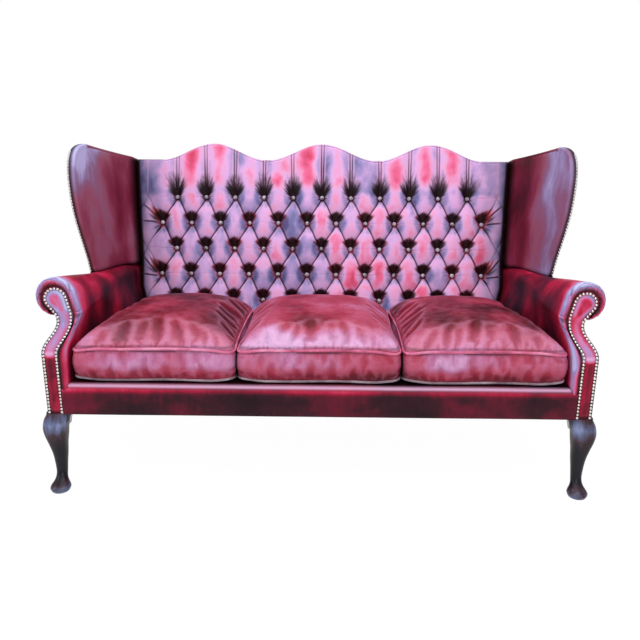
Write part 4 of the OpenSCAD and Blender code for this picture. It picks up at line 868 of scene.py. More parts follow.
def buildFacings():
    foot = sofa["legTop"] + gap
    rise = sectionPath(facingSection, -45, counts=(10, 26, 10, 40))
    outline = np.concatenate([[[arm["inside"], foot]], upright(arm["inside"], 280, 345, 8), rise,
                              facingOuter()[1:], upright(arm["outside"], arm["knee"] - 8, foot + 8, 22),
                              [[arm["outside"], foot]]])
    # staggered points fill the outline, so that the panel can puff
    step = facingPanel["meshStep"]
    low, high = outline.min(0), outline.max(0)
    x, z = np.meshgrid(np.arange(low[0] + 2, high[0], step), np.arange(low[1] + 2, high[1], step))
    spots = np.column_stack([x.ravel() + (np.arange(x.size) // x.shape[1] % 2) * step / 2, z.ravel()])
    spots = spots[insideOf(spots, outline) & (edgeDistance(spots, outline) > 1.6)]
    corners = [Vector(p) for p in np.concatenate([outline, spots])]
    flat, _, panels = delaunay_2d_cdt(corners, [], [list(range(len(outline)))], 1, 1e-4)[:3]
    flat = np.array([list(v) for v in flat])
    away = edgeDistance(flat, outline)
    puff = facingPanel["puff"] * smooth((away - facingPanel["puffFrom"]) / 9)
    puff -= facingPanel["groove"] * bell(away - 6, 3)
    x, z = flat[:, 0], flat[:, 1]
    plane = arm["scrollY"] + sweep(z)
    count, around = len(flat), len(outline)
    faces = [list(f) for f in panels] + [[i + count for i in f[::-1]] for f in panels]
    faces += [[i, (i + 1) % around, (i + 1) % around + count, i + count] for i in range(around)]
    # painted sheen: pale lilac on the facing and lilac-blue on the rim round the scroll head; a painted
    # highlight on the ledge at the knee; painted shade in the strip along the nails; crimson below the knee
    rim = bell(away - 15, 7)
    polish = lerp(0.82 - 0.1 * rim, 0.62 + 0.32 * rim, smooth((z - facingPanel["scrollFoot"]) / 20))
    polish = lerp(polish, 0.36 + 0.08 * rim, smooth((arm["knee"] - 4 - z) / 14))
    ledge = 0.85 * bell(z - arm["knee"] - 3, 6) * smooth((away - 9) / 6)
    points = np.concatenate([np.column_stack([x, plane - puff, z]),
                             np.column_stack([x, plane + facingPanel["thickness"], z])])
    bothSides("facing_panel", points, faces, facingLeather, replaces=["arm_facing"], slot="outer_leather",
              fields=shown(fold=0.97 * bell(away - 5, 5.5), polish=polish, gleam=ledge), creaseAngle=40)


def buildFacingNails():
    inset = nails["inset"]
    section = [facingSection[0] + [inset, inset, 0, 0], facingSection[1], facingSection[2] - inset]
    rise = sectionPath(section, 90)
    inner = np.concatenate([[[arm["inside"] + inset, nails["foot"]]], rise[rise[:, 1] >= arm["knee"]]])
    centre, radius = (section[0][3], section[1][4]), section[2][1]
    low = facingOuter(inset)
    outer = np.concatenate([arc(centre, radius, 90 - math.degrees(nails["pitch"] / radius), -45, 18),
                            low[low[:, 1] < facingPanel["waistZ"] + 17],
                            [[arm["outside"] - inset, nails["foot"]]]])
    for kind, path in (("inner", inner), ("outer", outer)):
        lengths = np.linalg.norm(np.diff(path, axis=0), axis=1)
        dense = np.concatenate([lerp(a, b, np.linspace(0, 1, max(2, int(d / 3)))[:-1, None])
                                for a, b, d in zip(path, path[1:], lengths)] + [path[-1:]])
        x, z = dense[:, 0], dense[:, 1]
        slope = (sweep(z + 1.5) - sweep(z - 1.5)) / 3
        nailRow(f"facing_nail_heads_{kind}", f"facing_nails_{kind}",
                np.column_stack([x, arm["scrollY"] + sweep(z) + 0.2, z]),
                np.column_stack([np.zeros(len(z)), -np.ones(len(z)), slope]), pathLength(dense))


buildFacings()
buildFacingNails()
print("facings")


# Outside panels: plain leather, tacked flat and puffed a little in the middle
plain = dict(armPuff=2.5, wingPuff=3, backPuff=3, puffHeight=800, polish=0.36, seam=0.8, sideX=850,
             roundTop=545, turnZ=512)


def plainFields(grid, fold=0.0, polish=plain["polish"]):  # one tone all over a wall
    return shown(fold=np.full(grid.shape[:2], fold), polish=np.full(grid.shape[:2], polish))


def buildOutsideArms():
    outer = []
    for f in np.linspace(0, 1, 40):
        roll = rollSection(f)[0][3]
        top = np.array([lerp(facingPanel["waistX"], roll + 16, f),
                        lerp(facingPanel["waistZ"], plain["roundTop"], min(1, f / arm["slopeShare"]))])
        out = lerp(arm["outside"], arm["rearOutside"], f)
        path = np.concatenate([bezier([top, top - [0, 44], [out, plain["turnZ"]], [out, arm["knee"]]], 16),
                               upright(out, arm["knee"], sofa["legTop"] + gap, 15)[1:]])
        z = path[:, 1]
        y = lerp(arm["scrollY"] + sweep(z) + 6, rakedY(sofa["frameRear"], z), f)
        puff = plain["armPuff"] * math.sin(math.pi * f) * np.sin(np.pi * np.linspace(0, 1, len(path)))
        outer.append(np.column_stack([path[:, 0] + puff, y, z]))
    outer = np.array(outer)
    points, faces = slab(outer, outer - [leatherThickness, 0, 0])
    edge = np.zeros(outer.shape[:2])
    edge[:, 0] = edge[:, -1] = edge[0] = edge[-1] = plain["seam"]
    bothSides("outside_arm_cover", points, faces, outerLeather, replaces=["outside_arm"],
              slot="outer_leather", fields=shown(fold=edge, polish=np.full(edge.shape, plain["polish"])))


buildOutsideArms()
print("outside arms")

# Wings: each stands on the arm, toes in and flares, and its padded inner face rounds over a lip
wing = dict(height=1119, foot=657.3, footY=5, reach=45, x=842, toeIn=0.2, flare=0.08, lipDepth=7,
            lipRise=11, lipSpan=28.3, stripFrom=10, stripTo=27, stripX=25.7, outsideX=25.3, skin=2.5,
            rearLift=12.1, liftedRows=9, tucks=(41, 20), handles=((0.35, 42), (0.68, 65)), lump=2.5,
            nailX=19, nailLift=3)
# The front edge as shares of the reach forward and of the rise
lowShares = [[0, 0], [0.1, 0.18], [1, 0.37], [1, 0.58]]
highShares = [[1, 0.58], [1, 0.89], [0.2, 1], [-1.55, 1]]


def wingPlane(y, z):
    return wing["x"] - wing["toeIn"] * y + wing["flare"] * (z - wing["foot"])


def wingEdge():
    start, size = [wing["footY"], wing["foot"]], [-wing["reach"], wing["height"] - wing["foot"]]
    low, high = (np.array(shares) * size + start for shares in (lowShares, highShares))
    return np.concatenate([bezier(low, 30), bezier(high, 40)[1:]])


wingEdges = wingEdge()
edgeRun = np.gradient(wingEdges, axis=0)
edgeRun /= np.linalg.norm(edgeRun, axis=1)[:, None]
edgeOut = np.column_stack([-edgeRun[:, 1], edgeRun[:, 0]])


def wingBackZ(z):  # height at the back, where the line from the front edge at z ends
    share = (z - wing["foot"]) / (wing["height"] - wing["foot"])
    level = lerp(wing["foot"], valleyZ - leatherThickness, share)
    return level - wing["lipDepth"] * smooth((z - wing["height"] + 60) / 60)


def archAcross(low, high):  # a soft arch from x = low to x = high: 15 places and rises
    a = np.linspace(np.pi, 0, 15)
    x = (low + high) / 2 + (high - low) / 2 * np.sign(np.cos(a)) * np.abs(np.cos(a)) ** 0.6
    return x, wing["lipRise"] * np.abs(np.sin(a)) ** 0.6


def wingPath(edge, out):  # from behind the back's cover, over the inner face and the lip, to the nailed strip
    y, z = edge - wing["lipDepth"] * out
    rearZ = float(wingBackZ(edge[1])) + wing["rearLift"] * smooth((edge[1] - wing["height"] + 200) / 200)
    half = float(backHalf(rearZ)) + 3
    start = np.array([half, rakedY(0, rearZ), rearZ])
    lipX = float(wingPlane(y, z)) - 3
    end = np.array([lipX, y, z])
    near, far = (lerp(start, end, share) + [inward - share * (lipX - half), 0, 0]
                 for share, inward in wing["handles"])
    x, rise = archAcross(lipX, lipX + wing["lipSpan"])
    lip = np.column_stack([x, y + rise * out[0], z + rise * out[1]])[1:]
    strip = edge - np.linspace(wing["stripFrom"], wing["stripTo"], 5)[:, None] * out
    strip = np.column_stack([wingPlane(strip[:, 0], strip[:, 1]) + wing["stripX"], strip])
    tuck = [[half, rakedY(n, rearZ), rearZ] for n in wing["tucks"]]
    return np.concatenate([tuck, bezier([start, near, far, end], 28), lip, strip])


def onArm(points, shift=14):  # the lowest row sits on the arm's curved top
    return [max(armTop(x, y), armTop(x + shift, y), arm["rearHeight"] - 18) + 1.5 for x, y, _ in points]


def wingCover():  # returns its top row, which the cap takes up
    outer = np.array([wingPath(edge, out) for edge, out in zip(wingEdges, edgeOut)])
    lift = onArm(outer[0]) - outer[0, :, 2]
    for i in range(wing["liftedRows"]):
        outer[i, :, 2] += lift * (1 - i / wing["liftedRows"]) ** 2
    top = outer[-1].copy()
    place = np.arange(outer.shape[1])
    lump = noiseAt(outer.reshape(-1, 3), 1 / 150, 5.5).reshape(outer.shape[:2])
    faceShare = np.clip((place - 2) / 28, 0, 1)[None, :]
    outer[..., 0] -= wing["lump"] * lump * np.sin(np.pi * faceShare)
    inner = outer.copy()
    inner[:, :, 0] += np.where(place < 38, wing["skin"], -wing["skin"])
    inner[:, 31:45, 1:] -= wing["skin"] * edgeOut[:, None, :]
    points, faces = slab(outer, inner)
    up = np.linspace(0, 1, outer.shape[0])[:, None]
    outside = smooth((place - 35.5) / 2)[None, :]
    # painted shade by the back, along the foot on the arm and on the strip past the lip; a painted sheen in a
    # lilac band towards the front, and a lighter tone on the bulges, painted light
    fold = 0.9 * smooth((0.12 - faceShare) / 0.12) + 0.7 * smooth((0.03 - up) / 0.03) + 0.9 * outside
    band = smooth((faceShare - 0.42 - 0.3 * lump) / 0.33)
    polish = 0.47 + 0.3 * band + 0.15 * lump - 0.06 * bell(faceShare - 0.3, 0.1)
    bothSides("wing_cover", points, faces, wingLeather, replaces=["inside_wing"], slot="tufted_leather",
              fields=shown(fold=np.clip(fold, 0, 1), polish=polish))
    return top


def wingCap(top):  # closes the top, from the lip back to the outside back
    first, level = top[30], float(wingBackZ(wing["height"]))
    rear = rakedY(sofa["frameRear"] + 1, level)
    behind = [[top[2, 0], y, 0] for y in np.linspace(rear, top[2, 1], 7)[:-1]]
    cap = []
    for x, y, _ in np.concatenate([behind, top[2:31]]):
        z = lerp(first[2], level, (y - first[1]) / (rear - first[1]))
        across, rise = archAcross(x, float(wingPlane(y, z)) + wing["outsideX"])
        cap.append(np.column_stack([across, np.full(15, y), z + rise]))
    cap = np.array(cap)
    points, faces = slab(cap, cap - [0, 0, wing["skin"]])
    bothSides("wing_top", points, faces, wingLeather, slot="tufted_leather",
              fields=plainFields(cap, 0.15, 0.45))


def outsideWing():
    outer = []
    t = np.linspace(0, 1, 25)
    for up, edge, out in zip(np.linspace(0, 1, len(wingEdges)), wingEdges, edgeOut):
        y, z = edge - lerp(wing["stripTo"] + gap, wing["lipDepth"], smooth(up * 2 - 1)) * out
        zs = lerp(z, float(wingBackZ(edge[1])), t)
        ys = lerp(y, rakedY(sofa["frameRear"], zs), t)
        x = wingPlane(ys, zs) + wing["outsideX"]
        if up == 0:
            zs = np.array(onArm(np.column_stack([x, ys, zs])))
        puff = plain["wingPuff"] * np.sin(np.pi * t) * math.sin(math.pi * up)
        outer.append(np.column_stack([x + puff, ys, zs]))
    outer = np.array(outer)
    points, faces = slab(outer, outer - [leatherThickness, 0, 0])
    bothSides("outside_wing_cover", points, faces, outerLeather, replaces=["outside_wing"],
              slot="outer_leather", fields=plainFields(outer))


def wingNails():  # down the outer corner of the front edge
    kept = (edgeOut[:, 0] < -0.7) & (wingEdges[:, 1] > wing["foot"] + 8)
    corner = wingEdges[kept] + wing["nailLift"] * edgeOut[kept]
    path = np.column_stack([wingPlane(corner[:, 0], corner[:, 1]) + wing["nailX"], corner])
    facing = np.column_stack([np.full(kept.sum(), 0.5), 0.87 * edgeOut[kept]])
    nailRow("wing_nail_heads", "wing_nails", path, facing, pathLength(path))


wingCap(wingCover())
outsideWing()
wingNails()
print("wings")


# The outside back runs from the legs, round the arms' rolls and the wings, to the serpentine top
def buildOutsideBack():
    n = sofa["frameRear"] + gap
    lobe = arc((rollRear[0][3], rollRear[1][4]), rollRear[2][1], -60, 60, 16)
    foot = sofa["legTop"] + gap
    wingZ = np.linspace(wing["foot"] + 3, valleyZ, 30)
    wingX = wingPlane(rakedY(sofa["frameRear"], wingZ), wingZ) + wing["outsideX"]
    side = np.concatenate([upright(plain["sideX"], foot, lobe[0][1] - 8, 12), lobe,
                           np.column_stack([wingX, wingZ])])
    across = np.linspace(-1, 1, 121)
    flat = np.sqrt(np.clip(1 - np.abs(across) ** 8, 0, 1))
    outer, inner = [], []
    for x, z in side:
        puff = plain["backPuff"] * flat * np.sin(np.pi * np.clip((z - foot) / plain["puffHeight"], 0, 1))
        outer.append(rakedPoint(across * x, n + leatherThickness + puff, rakedS(n, z)))
        inner.append(rakedPoint(across * x, n, rakedS(n, z)))
    topHalf = seat["rearHalf"] + back["byWingHigh"]
    lastX, lastS = side[-1][0], rakedS(n, side[-1][1])
    for t in np.linspace(0, 1, 12)[1:]:
        x = across * lerp(lastX, topHalf, t)
        s = lerp(lastS, np.maximum(topS(np.clip(x, -topHalf, topHalf)), lastS), t)
        outer.append(rakedPoint(x, n + leatherThickness - 2.5 * (t > 0.98), s))
        inner.append(rakedPoint(x, n, s - 0.5))
    # over the top edge to the inside back
    x = across * topHalf
    for n, drop in ((60, 0), (45, 0), (30.3, 0.4)):
        outer.append(rakedPoint(x, n, topS(x) - drop))
        inner.append(rakedPoint(x, n, topS(x) - 3 - drop))
    outer, inner = np.array(outer), np.array(inner)
    points, faces = slab(outer, inner)
    addPiece("outside_back_cover", points, faces, outerLeather, replaces=["outside_back"],
             slot="outer_leather", fields=plainFields(outer))


buildOutsideBack()
print("outside back")

# Front border: leather over the padded rail, rounded at its top edge and taken back under the cushions
border = dict(front=-402, rear=-328, radius=16, skin=5, belly=3.5, gleam=0.75, foldFrom=9, gleamTo=15)


def seatHalf(y):
    rear = rakedY(sofa["frameFront"], sofa["deck"])
    share = np.clip((y - arm["facingY"]) / (rear - arm["facingY"]), 0, 1)
    return lerp(seat["frontHalf"], seat["rearHalf"], share)


def buildBorder():
    front, rear, radius = border["front"], border["rear"], border["radius"]
    foot, top = sofa["legTop"] + gap, sofa["deck"]
    profile = np.concatenate([upright(front, foot, top - radius, 17)[:-1],
                              arc((front + radius, top - radius), radius, 180, 90, 14),
                              np.column_stack([np.linspace(front + radius, rear, 8)[1:], np.full(7, top)])])
    y, z = profile[:, 0], profile[:, 1]
    half = np.where(z > seat["railTop"], seatHalf(y) - 2 * gap, arm["inside"] - gap)
    belly = border["belly"] * np.sin(np.pi * np.clip((z - foot) / (top - foot), 0, 1))
    outer, inner = [], []
    across = np.linspace(-1, 1, 201)
    for t in across:
        wave = np.array([noise.noise(Vector((t * 6, level / 60, 3.3))) for level in z])
        outer.append(np.column_stack([t * half, y - belly - wave, z]))
        inner.append(np.column_stack([t * half, y + border["skin"], np.minimum(z, top - 4)]))
    points, faces = slab(np.array(outer), np.array(inner))
    y, z = np.tile(y, len(across)), np.tile(z, len(across))
    # a painted highlight along the rounded top edge, a lighter painted glow below it, and painted shade on
    # the part under the cushions
    gleam = border["gleam"] * bell(z - top + 8, 5) * smooth((front + border["gleamTo"] - y) / 8)
    polish = 0.2 + 0.3 * bell(z - seat["railTop"], 10)
    fold = 0.85 * smooth((y - front - border["foldFrom"]) / 9)
    addPiece("front_border_cover", points, faces, borderLeather, replaces=["front_border"],
             slot="tufted_leather", fields=shown(fold=fold, gleam=gleam, polish=polish))


buildBorder()
print("front border")

# Seat cushions: crowned leather boxes with drawn-in sides and a piping round the top and the foot
cushion = dict(front=-395, rear=169, width=536, gapBetween=0.6, clearFront=10, clearRear=5, corner=34,
               foot=371.3, low=380, band=104, piping=9, pipingIn=5, crown=84, drawIn=7, cornerLift=9,
               cornerSink=8, foremost=-411)
filling = dict(voxel=7, pressure=4, frames=20, cap=14, stretch=0.03, bending=6, jitter=0.2)
cushionTones = {"left": -0.14, "centre": 0.14, "right": -0.1}
boxTop = cushion["low"] + cushion["band"]


def cushionCorners(which):
    h = cushion["width"] / 2
    front, rear = cushion["front"], cushion["rear"]
    if which == "centre":
        return np.array([[-h, front], [h, front], [h, rear], [-h, rear]])
    h += cushion["gapBetween"]
    side = np.array([[h, front], [seatHalf(front) - cushion["clearFront"], front],
                     [seatHalf(rear) - cushion["clearRear"], rear], [h, rear]])
    return side if which == "right" else (side * [-1, 1])[[1, 0, 3, 2]]


def cushionOutline(corners, radius, pull, cornerSteps=8, sideSteps=36):
    points = []
    for i in range(4):
        corner, ahead, behind = corners[i], corners[(i + 1) % 4], corners[(i + 3) % 4]
        along = (ahead - corner) / np.linalg.norm(ahead - corner)
        returning = (behind - corner) / np.linalg.norm(behind - corner)
        start, end = corner + radius * returning, corner + radius * along
        inward = np.array([-along[1], along[0]])
        t = np.linspace(0, 1, cornerSteps + 1)[:, None]
        points.append(start * (1 - t) ** 2 + 2 * corner * t * (1 - t) + end * t * t)
        t = np.linspace(0, 1, sideSteps + 1)[1:-1, None]
        points.append(lerp(end, ahead - radius * along, t) + inward * pull * np.sin(np.pi * t))
    return np.concatenate(points)


def sidesAt(y, corners):  # x places of the two sides at y, and how far back that is, 0 to 1
    (x0, front), (x1, _), (x2, rear), (x3, _) = corners
    t = np.clip((y - front) / (rear - front), 0, 1)
    return lerp(x0, x3, t), lerp(x1, x2, t), t


def squarePlace(points, corners):  # place across the cushion, -1 to 1 between its sides and front to rear
    low, high, t = sidesAt(points[:, 1], corners)
    return (2 * points[:, 0] - low - high) / (high - low), 2 * t - 1


def crownRise(across, deep):
    side = np.clip(1 - np.abs(across) ** 2.6, 0, 1) * np.clip(1 - np.abs(deep) ** 2.6, 0, 1)
    return side ** 0.62


def cornerDrop(across, deep, z):  # worn front corners: the foot lifts there and the top piping sinks
    share = smooth((np.abs(across) - 0.62) / 0.38) * smooth((-deep - 0.62) / 0.38)
    up = np.clip((z - cushion["low"]) / cushion["band"], 0, 1)
    return share * lerp(cushion["cornerLift"], -cushion["cornerSink"], up)


def cushionShell(corners):
    middle = corners.mean(0)
    foot, low, high = cushion["foot"], cushion["low"], boxTop
    # each ring: height, or None on the crown, inset, share of the full size, share of the drawn-in sides
    rows = [(foot, 26, 1, 0), (foot, 16, 1, 0.5), (foot + 1.5, 8, 1, 1), (low - 4, 4, 1, 1)]
    rows += [(lerp(low + 4, high - 4, t), 4 - 5 * math.sin(math.pi * t) ** 0.8, 1, 1)
             for t in np.linspace(0, 1, 19)]
    rows.append((high, 4, 1, 1))
    rows += [(None, 4, k, k) for k in 1 - np.linspace(0, 1, 34)[1:] ** 1.4 * 0.985]
    rings = []
    for z, inset, size, pull in rows:
        d = corners - middle
        radius = lerp(cushion["width"] / 2 * size * 0.9, cushion["corner"], size * size)
        ring = cushionOutline(middle + size * d - inset * np.sign(d), radius, cushion["drawIn"] * pull)
        level = z if z is not None else high + 3 + cushion["crown"] * crownRise(*squarePlace(ring, corners))
        rings.append(np.column_stack([ring, np.zeros(len(ring)) + level]))
    return stacked(rings)


def bake(obj):
    made = evaluated(obj)
    obj.modifiers.clear()
    obj.data = made


def vertexPlaces(obj):
    places = np.empty(len(obj.data.vertices) * 3)
    obj.data.vertices.foreach_get("co", places)
    return places.reshape(-1, 3)


# The leather cover is blown up by its filling, held where the pipings and the foot grip it
def inflate(obj, seed):
    remesh = obj.modifiers.new("even skin", "REMESH")
    remesh.mode = "VOXEL"
    remesh.voxel_size = filling["voxel"] / 1000
    bake(obj)
    rest = vertexPlaces(obj)
    z = rest[:, 2] * 1000
    held = np.maximum(bell(z - boxTop, 7), bell(z - cushion["low"], 8)) + (z < cushion["low"] - 3)
    held = np.round(np.clip(held, 0, 1), 1)
    group = obj.vertex_groups.new(name="held")
    for level in np.unique(held):
        group.add(np.flatnonzero(held == level).tolist(), float(level), "REPLACE")
    offset = rest + np.random.default_rng(seed).normal(0, filling["jitter"] / 1000, rest.shape)
    obj.data.vertices.foreach_set("co", offset.ravel())
    cloth = obj.modifiers.new("filling", "CLOTH")
    given = cloth.settings
    given.quality = 5
    given.mass = 0.4
    given.tension_stiffness = given.compression_stiffness = 12
    given.shear_stiffness = 5
    given.bending_stiffness = filling["bending"]
    given.use_pressure = True
    given.uniform_pressure_force = filling["pressure"]
    given.shrink_min = -filling["stretch"]
    given.vertex_group_mass = "held"
    given.effector_weights.gravity = 0
    cloth.collision_settings.use_collision = False
    cloth.point_cache.frame_start, cloth.point_cache.frame_end = 1, filling["frames"]
    for step in range(1, filling["frames"] + 1):
        bpy.context.scene.frame_set(step)
    bake(obj)
    bpy.context.scene.frame_set(1)
    # no point moves further than the cap
    moved = vertexPlaces(obj) - rest
    length = np.linalg.norm(moved, axis=1)
    moved *= (np.minimum(length, filling["cap"] / 1000) / np.maximum(length, 1e-9))[:, None]
    return rest + moved


def bendOf(obj):  # how far each vertex stands out of its neighbours' mean, in millimetres
    places = vertexPlaces(obj) * 1000
    pairs = np.empty(len(obj.data.edges) * 2, int)
    obj.data.edges.foreach_get("vertices", pairs)
    a, b = pairs.reshape(-1, 2).T
    normals = np.empty(len(places) * 3)
    obj.data.vertices.foreach_get("normal", normals)
    values = places
    for _ in range(8):
        total, count = np.zeros_like(values), np.zeros(len(values))
        for i, j in ((a, b), (b, a)):
            np.add.at(total, i, values[j])
            np.add.at(count, i, 1)
        values = total / np.maximum(count, 1)[:, None]
    return ((places - values) * normals.reshape(-1, 3)).sum(1)


# Crumples, creases and worn tones, which the remesh would have smoothed away, with painted shade and
# painted sheen laid in among the tones
def dressCushion(obj, places, which, seed):
    flat = places * 1000
    low, high = cushion["low"], boxTop
    corners = cushionCorners(which)
    across, deep = squarePlace(flat, corners)
    broad, fine = noiseAt(flat, 1 / 110, seed), noiseAt(flat * [1, 1, 0.6], 1 / 30, seed + 3)
    ridged = 1 - np.abs(noiseAt(flat * [0.8, 1.5, 1.1], 1 / 52, seed + 7)) * 2.4
    z = flat[:, 2]
    onTop = smooth((z - high - 3) / 16)
    onBand = smooth((z - low - 3) / 10) * smooth((high - 3 - z) / 10)
    footBand = smooth((low + 60 - z) / 45) * onBand
    flat[:, 2] += onTop * (2.5 * broad + 1.0 * fine - 3.0 * np.clip(ridged - 0.72, 0, 1))
    outward = flat[:, :2] - corners.mean(0)
    outward /= np.linalg.norm(outward, axis=1)[:, None]
    flat[:, :2] += outward * (onBand * 1.4 * broad - footBand * 5 * np.clip(ridged - 0.55, 0, 0.5))[:, None]
    flat[:, 2] += cornerDrop(across, deep, z)
    # kept clear of the next cushion, the arm and the border's edge
    leftX, rightX, _ = sidesAt(flat[:, 1], corners)
    flat[:, 0] = np.clip(flat[:, 0], leftX - 0.1, rightX + 0.1)
    flat[:, 1] = np.clip(flat[:, 1], cushion["foremost"], cushion["rear"] - gap)
    flat[:, 2] = np.maximum(flat[:, 2], cushion["foot"])
    obj.data.vertices.foreach_set("co", (flat / 1000).ravel())
    obj.data.update()
    # hollows darker and crests lighter: painted shade and painted highlight, with wear on the crests
    bend = np.clip(bendOf(obj) / 2.2, -1, 1) * np.maximum(onTop, 0.5 * onBand)
    # the front of the top is lighter, wear with a painted sheen; the band is pale at its top, a painted
    # sheen, and darker towards the foot, painted shade
    worn = smooth((-deep - 0.66) / 0.28)
    topPolishAndSheen = 0.48 + cushionTones[which] + 0.3 * worn + 0.25 * broad + 0.05 * bend - 0.1 * smooth(deep)
    bandSheenAndShade = 0.76 - 0.4 * smooth((low + 60 - z) / 58) + 0.15 * broad + 0.05 * bend
    # painted shade by the next cushion, at the corners, beside the pipings, under the foot and in the
    # crumples
    corner = smooth((np.abs(across) - 0.93) / 0.07) * smooth((np.abs(deep) - 0.8) / 0.2)
    shade = np.maximum(smooth((np.abs(across) - 0.975) / 0.025) * (1 - onTop), 0.5 * corner)
    seamShade = 0.75 * smooth((low + 9 - z) / 6) + 0.85 * bell(z - high + 7, 3.2) + 0.6 * bell(z - high - 7, 3)
    fold = shade + seamShade + 0.15 * np.clip(-bend, 0, 1) + 0.3 * footBand * np.clip(ridged, 0, 1)
    fields = dict(polish=lerp(bandSheenAndShade, topPolishAndSheen, onTop), fold=np.clip(fold, 0, 1),
                  gleam=0.2 * np.clip(bend, 0, 1) + 0.15 * worn * onTop)
    for name, values in fields.items():
        layer = obj.data.attributes.new(name, "FLOAT", "POINT")
        layer.data.foreach_set("value", values.astype(np.float32))


def tube(path, radius, sides=10):
    ahead = np.roll(path, -1, axis=0) - np.roll(path, 1, axis=0)
    ahead /= np.linalg.norm(ahead, axis=1)[:, None]
    across = np.cross(ahead, [0.0, 0.0, 1.0])
    across /= np.linalg.norm(across, axis=1)[:, None]
    lift = np.cross(across, ahead)
    a = np.linspace(0, 2 * np.pi, sides + 1)[:, None, None]
    rings = path + radius * (np.cos(a) * across + np.sin(a) * lift)
    return rings.reshape(-1, 3), gridFaces(sides + 1, len(path), loop=True)


def buildCushion(which, seed):
    corners = cushionCorners(which)
    points, faces = cushionShell(corners)
    body = f"cushion_{which}"
    cover = addPiece(f"cushion_{which}_cover", points, faces, cushionLeather, body=body, replaces=[body],
                     slot="cushion_leather")
    places = inflate(cover, int(seed * 10))
    dressCushion(cover, places, which, seed)
    cover.data.shade_smooth()
    finer = cover.modifiers.new("finer skin", "SUBSURF")
    finer.levels = finer.render_levels = 1
    inset = corners - cushion["pipingIn"] * np.sign(corners - corners.mean(0))
    ring = cushionOutline(inset, cushion["corner"], cushion["drawIn"])
    for place, level, leather in (("top", boxTop, topPiping), ("foot", cushion["low"], footPiping)):
        height = level + 1.2 * np.sin(np.linspace(0, 14 * np.pi, len(ring)))
        height += cornerDrop(*squarePlace(ring, corners), height)
        points, faces = tube(np.column_stack([ring, height]), cushion["piping"] / 2)
        addPiece(f"cushion_{which}_piping_{place}", points, faces, leather, body=body, slot="cushion_leather",
                 fields=dict(polish=np.full(len(points), 0.5)))


for which, seed in (("left", 1.3), ("centre", 5.9), ("right", 9.4)):
    buildCushion(which, seed)
print("cushions")

# Cabriole legs. Each row of shares: height, lean outward, reach to the toe, thickness, and how square the
# section is. The shine is a painted blue highlight on the foot and the knee.
leg = dict(half=34, x=868, y=-368, toeY=-460, sides=48, footBevel=0.94)
legShares = np.array([[0, -0.2, 1, 0.84, 0], [0.045, -0.2, 1, 0.97, 0], [0.075, -0.2, 0.96, 0.9, 0],
                      [0.11, -0.18, 0.82, 0.7, 0], [0.15, -0.15, 0.66, 0.56, 0],
                      [0.21, -0.12, 0.5, 0.52, 0.1], [0.32, -0.06, 0.38, 0.58, 0.2], [0.45, 0, 0.3, 0.7, 0.3],
                      [0.58, 0.14, 0.24, 0.86, 0.5], [0.7, 0.25, 0.19, 1.04, 0.7],
                      [0.8, 0.29, 0.15, 1.12, 0.8], [0.9, 0.2, 0.07, 1.1, 0.9], [1, 0, 0, 1, 1]])
shineAtShares = [0, 0.06, 0.16, 0.3, 0.5, 0.62, 0.74, 0.86, 1]
shine = [0.8, 0.7, 0.35, 0.2, 0.15, 0.35, 0.55, 0.85, 0.6]


def catmull(xs, ys, x):
    i = int(np.clip(np.searchsorted(xs, x) - 1, 0, len(xs) - 2))
    h = xs[i + 1] - xs[i]
    t = (x - xs[i]) / h
    slopes = [(ys[j + 1] - ys[j - 1]) / (xs[j + 1] - xs[j - 1]) if 0 < j < len(xs) - 1 else 0
              for j in (i, i + 1)]
    return ((2 * t ** 3 - 3 * t ** 2 + 1) * ys[i] + (t ** 3 - 2 * t ** 2 + t) * slopes[0] * h
            + (-2 * t ** 3 + 3 * t ** 2) * ys[i + 1] + (t ** 3 - t ** 2) * slopes[1] * h)


def buildFrontLegs():
    half, sides = leg["half"], leg["sides"]
    toe = leg["y"] - (leg["toeY"] + half * legShares[1, 3])
    a = np.linspace(0, 2 * np.pi, sides, endpoint=False)
    rings = []
    for h in np.concatenate([[0, 0.006, 0.014], np.linspace(0.025, 1, 70)]):
        lean, forward, thick, square = (catmull(legShares[:, 0], legShares[:, c], h) for c in range(1, 5))
        width = half * thick * (leg["footBevel"] if h == 0 else 1)
        power = lerp(1, 0.55, min(1, max(0, square)))
        x, y = (width * np.sign(turn) * np.abs(turn) ** power for turn in (np.cos(a), np.sin(a)))
        rings.append(np.column_stack([leg["x"] + half * lean + x, leg["y"] - toe * forward + y,
                                      np.full(sides, sofa["legTop"] * h)]))
    points, faces = stacked(rings)
    polish = np.interp(points[:, 2] / sofa["legTop"], shineAtShares, shine)
    bothSides("cabriole_leg", points, faces, polishedMahogany, replaces=["front_leg"], slot="mahogany",
              fields=dict(polish=polish))


buildFrontLegs()
print("legs")

# Finishes of the CAD nodes that stay
finishes = {"beech": beechWood, "mahogany": mahogany, "nail": nickel, "steel": steel, "webbing": juteWebbing,
            "foam": felt, "deck_cloth": deckCloth, "dust_cloth": dustCloth, "outer_leather": outerLeather,
            "tufted_leather": armLeather, "cushion_leather": cushionLeather, "button_leather": buttonLeather}
for part in frame["record"]["subparts"]:
    node = frame["nodes"][part["node"]]
    node.data.materials.clear()
    node.data.materials.append(finishes[part["material_slot"]])

# Floor, lamps and camera, in metres and degrees. Each lamp: place, aim, size, power, tint
studio = dict(floorReach=14, floorGlow=1.03, floorShare=0.95, mottle=9333, sky=0.45, lens=35.07, sensor=36,
              cameraAt=(0.021, -2.290, 1.099), turn=0.56, tilt=15.05, roll=0.41)
lamps = {"overhead": ((0, -0.6, 3.4), (0, 0, 0.5), 3.2, 74, "#ffffff"),
         "front": ((0.6, -4.2, 2.6), (0, 0, 0.6), 2.6, 55, "#fff8f4"),
         "left": ((-3.6, -1.6, 2.2), (0, 0, 0.6), 1.8, 26, "#eef2ff")}


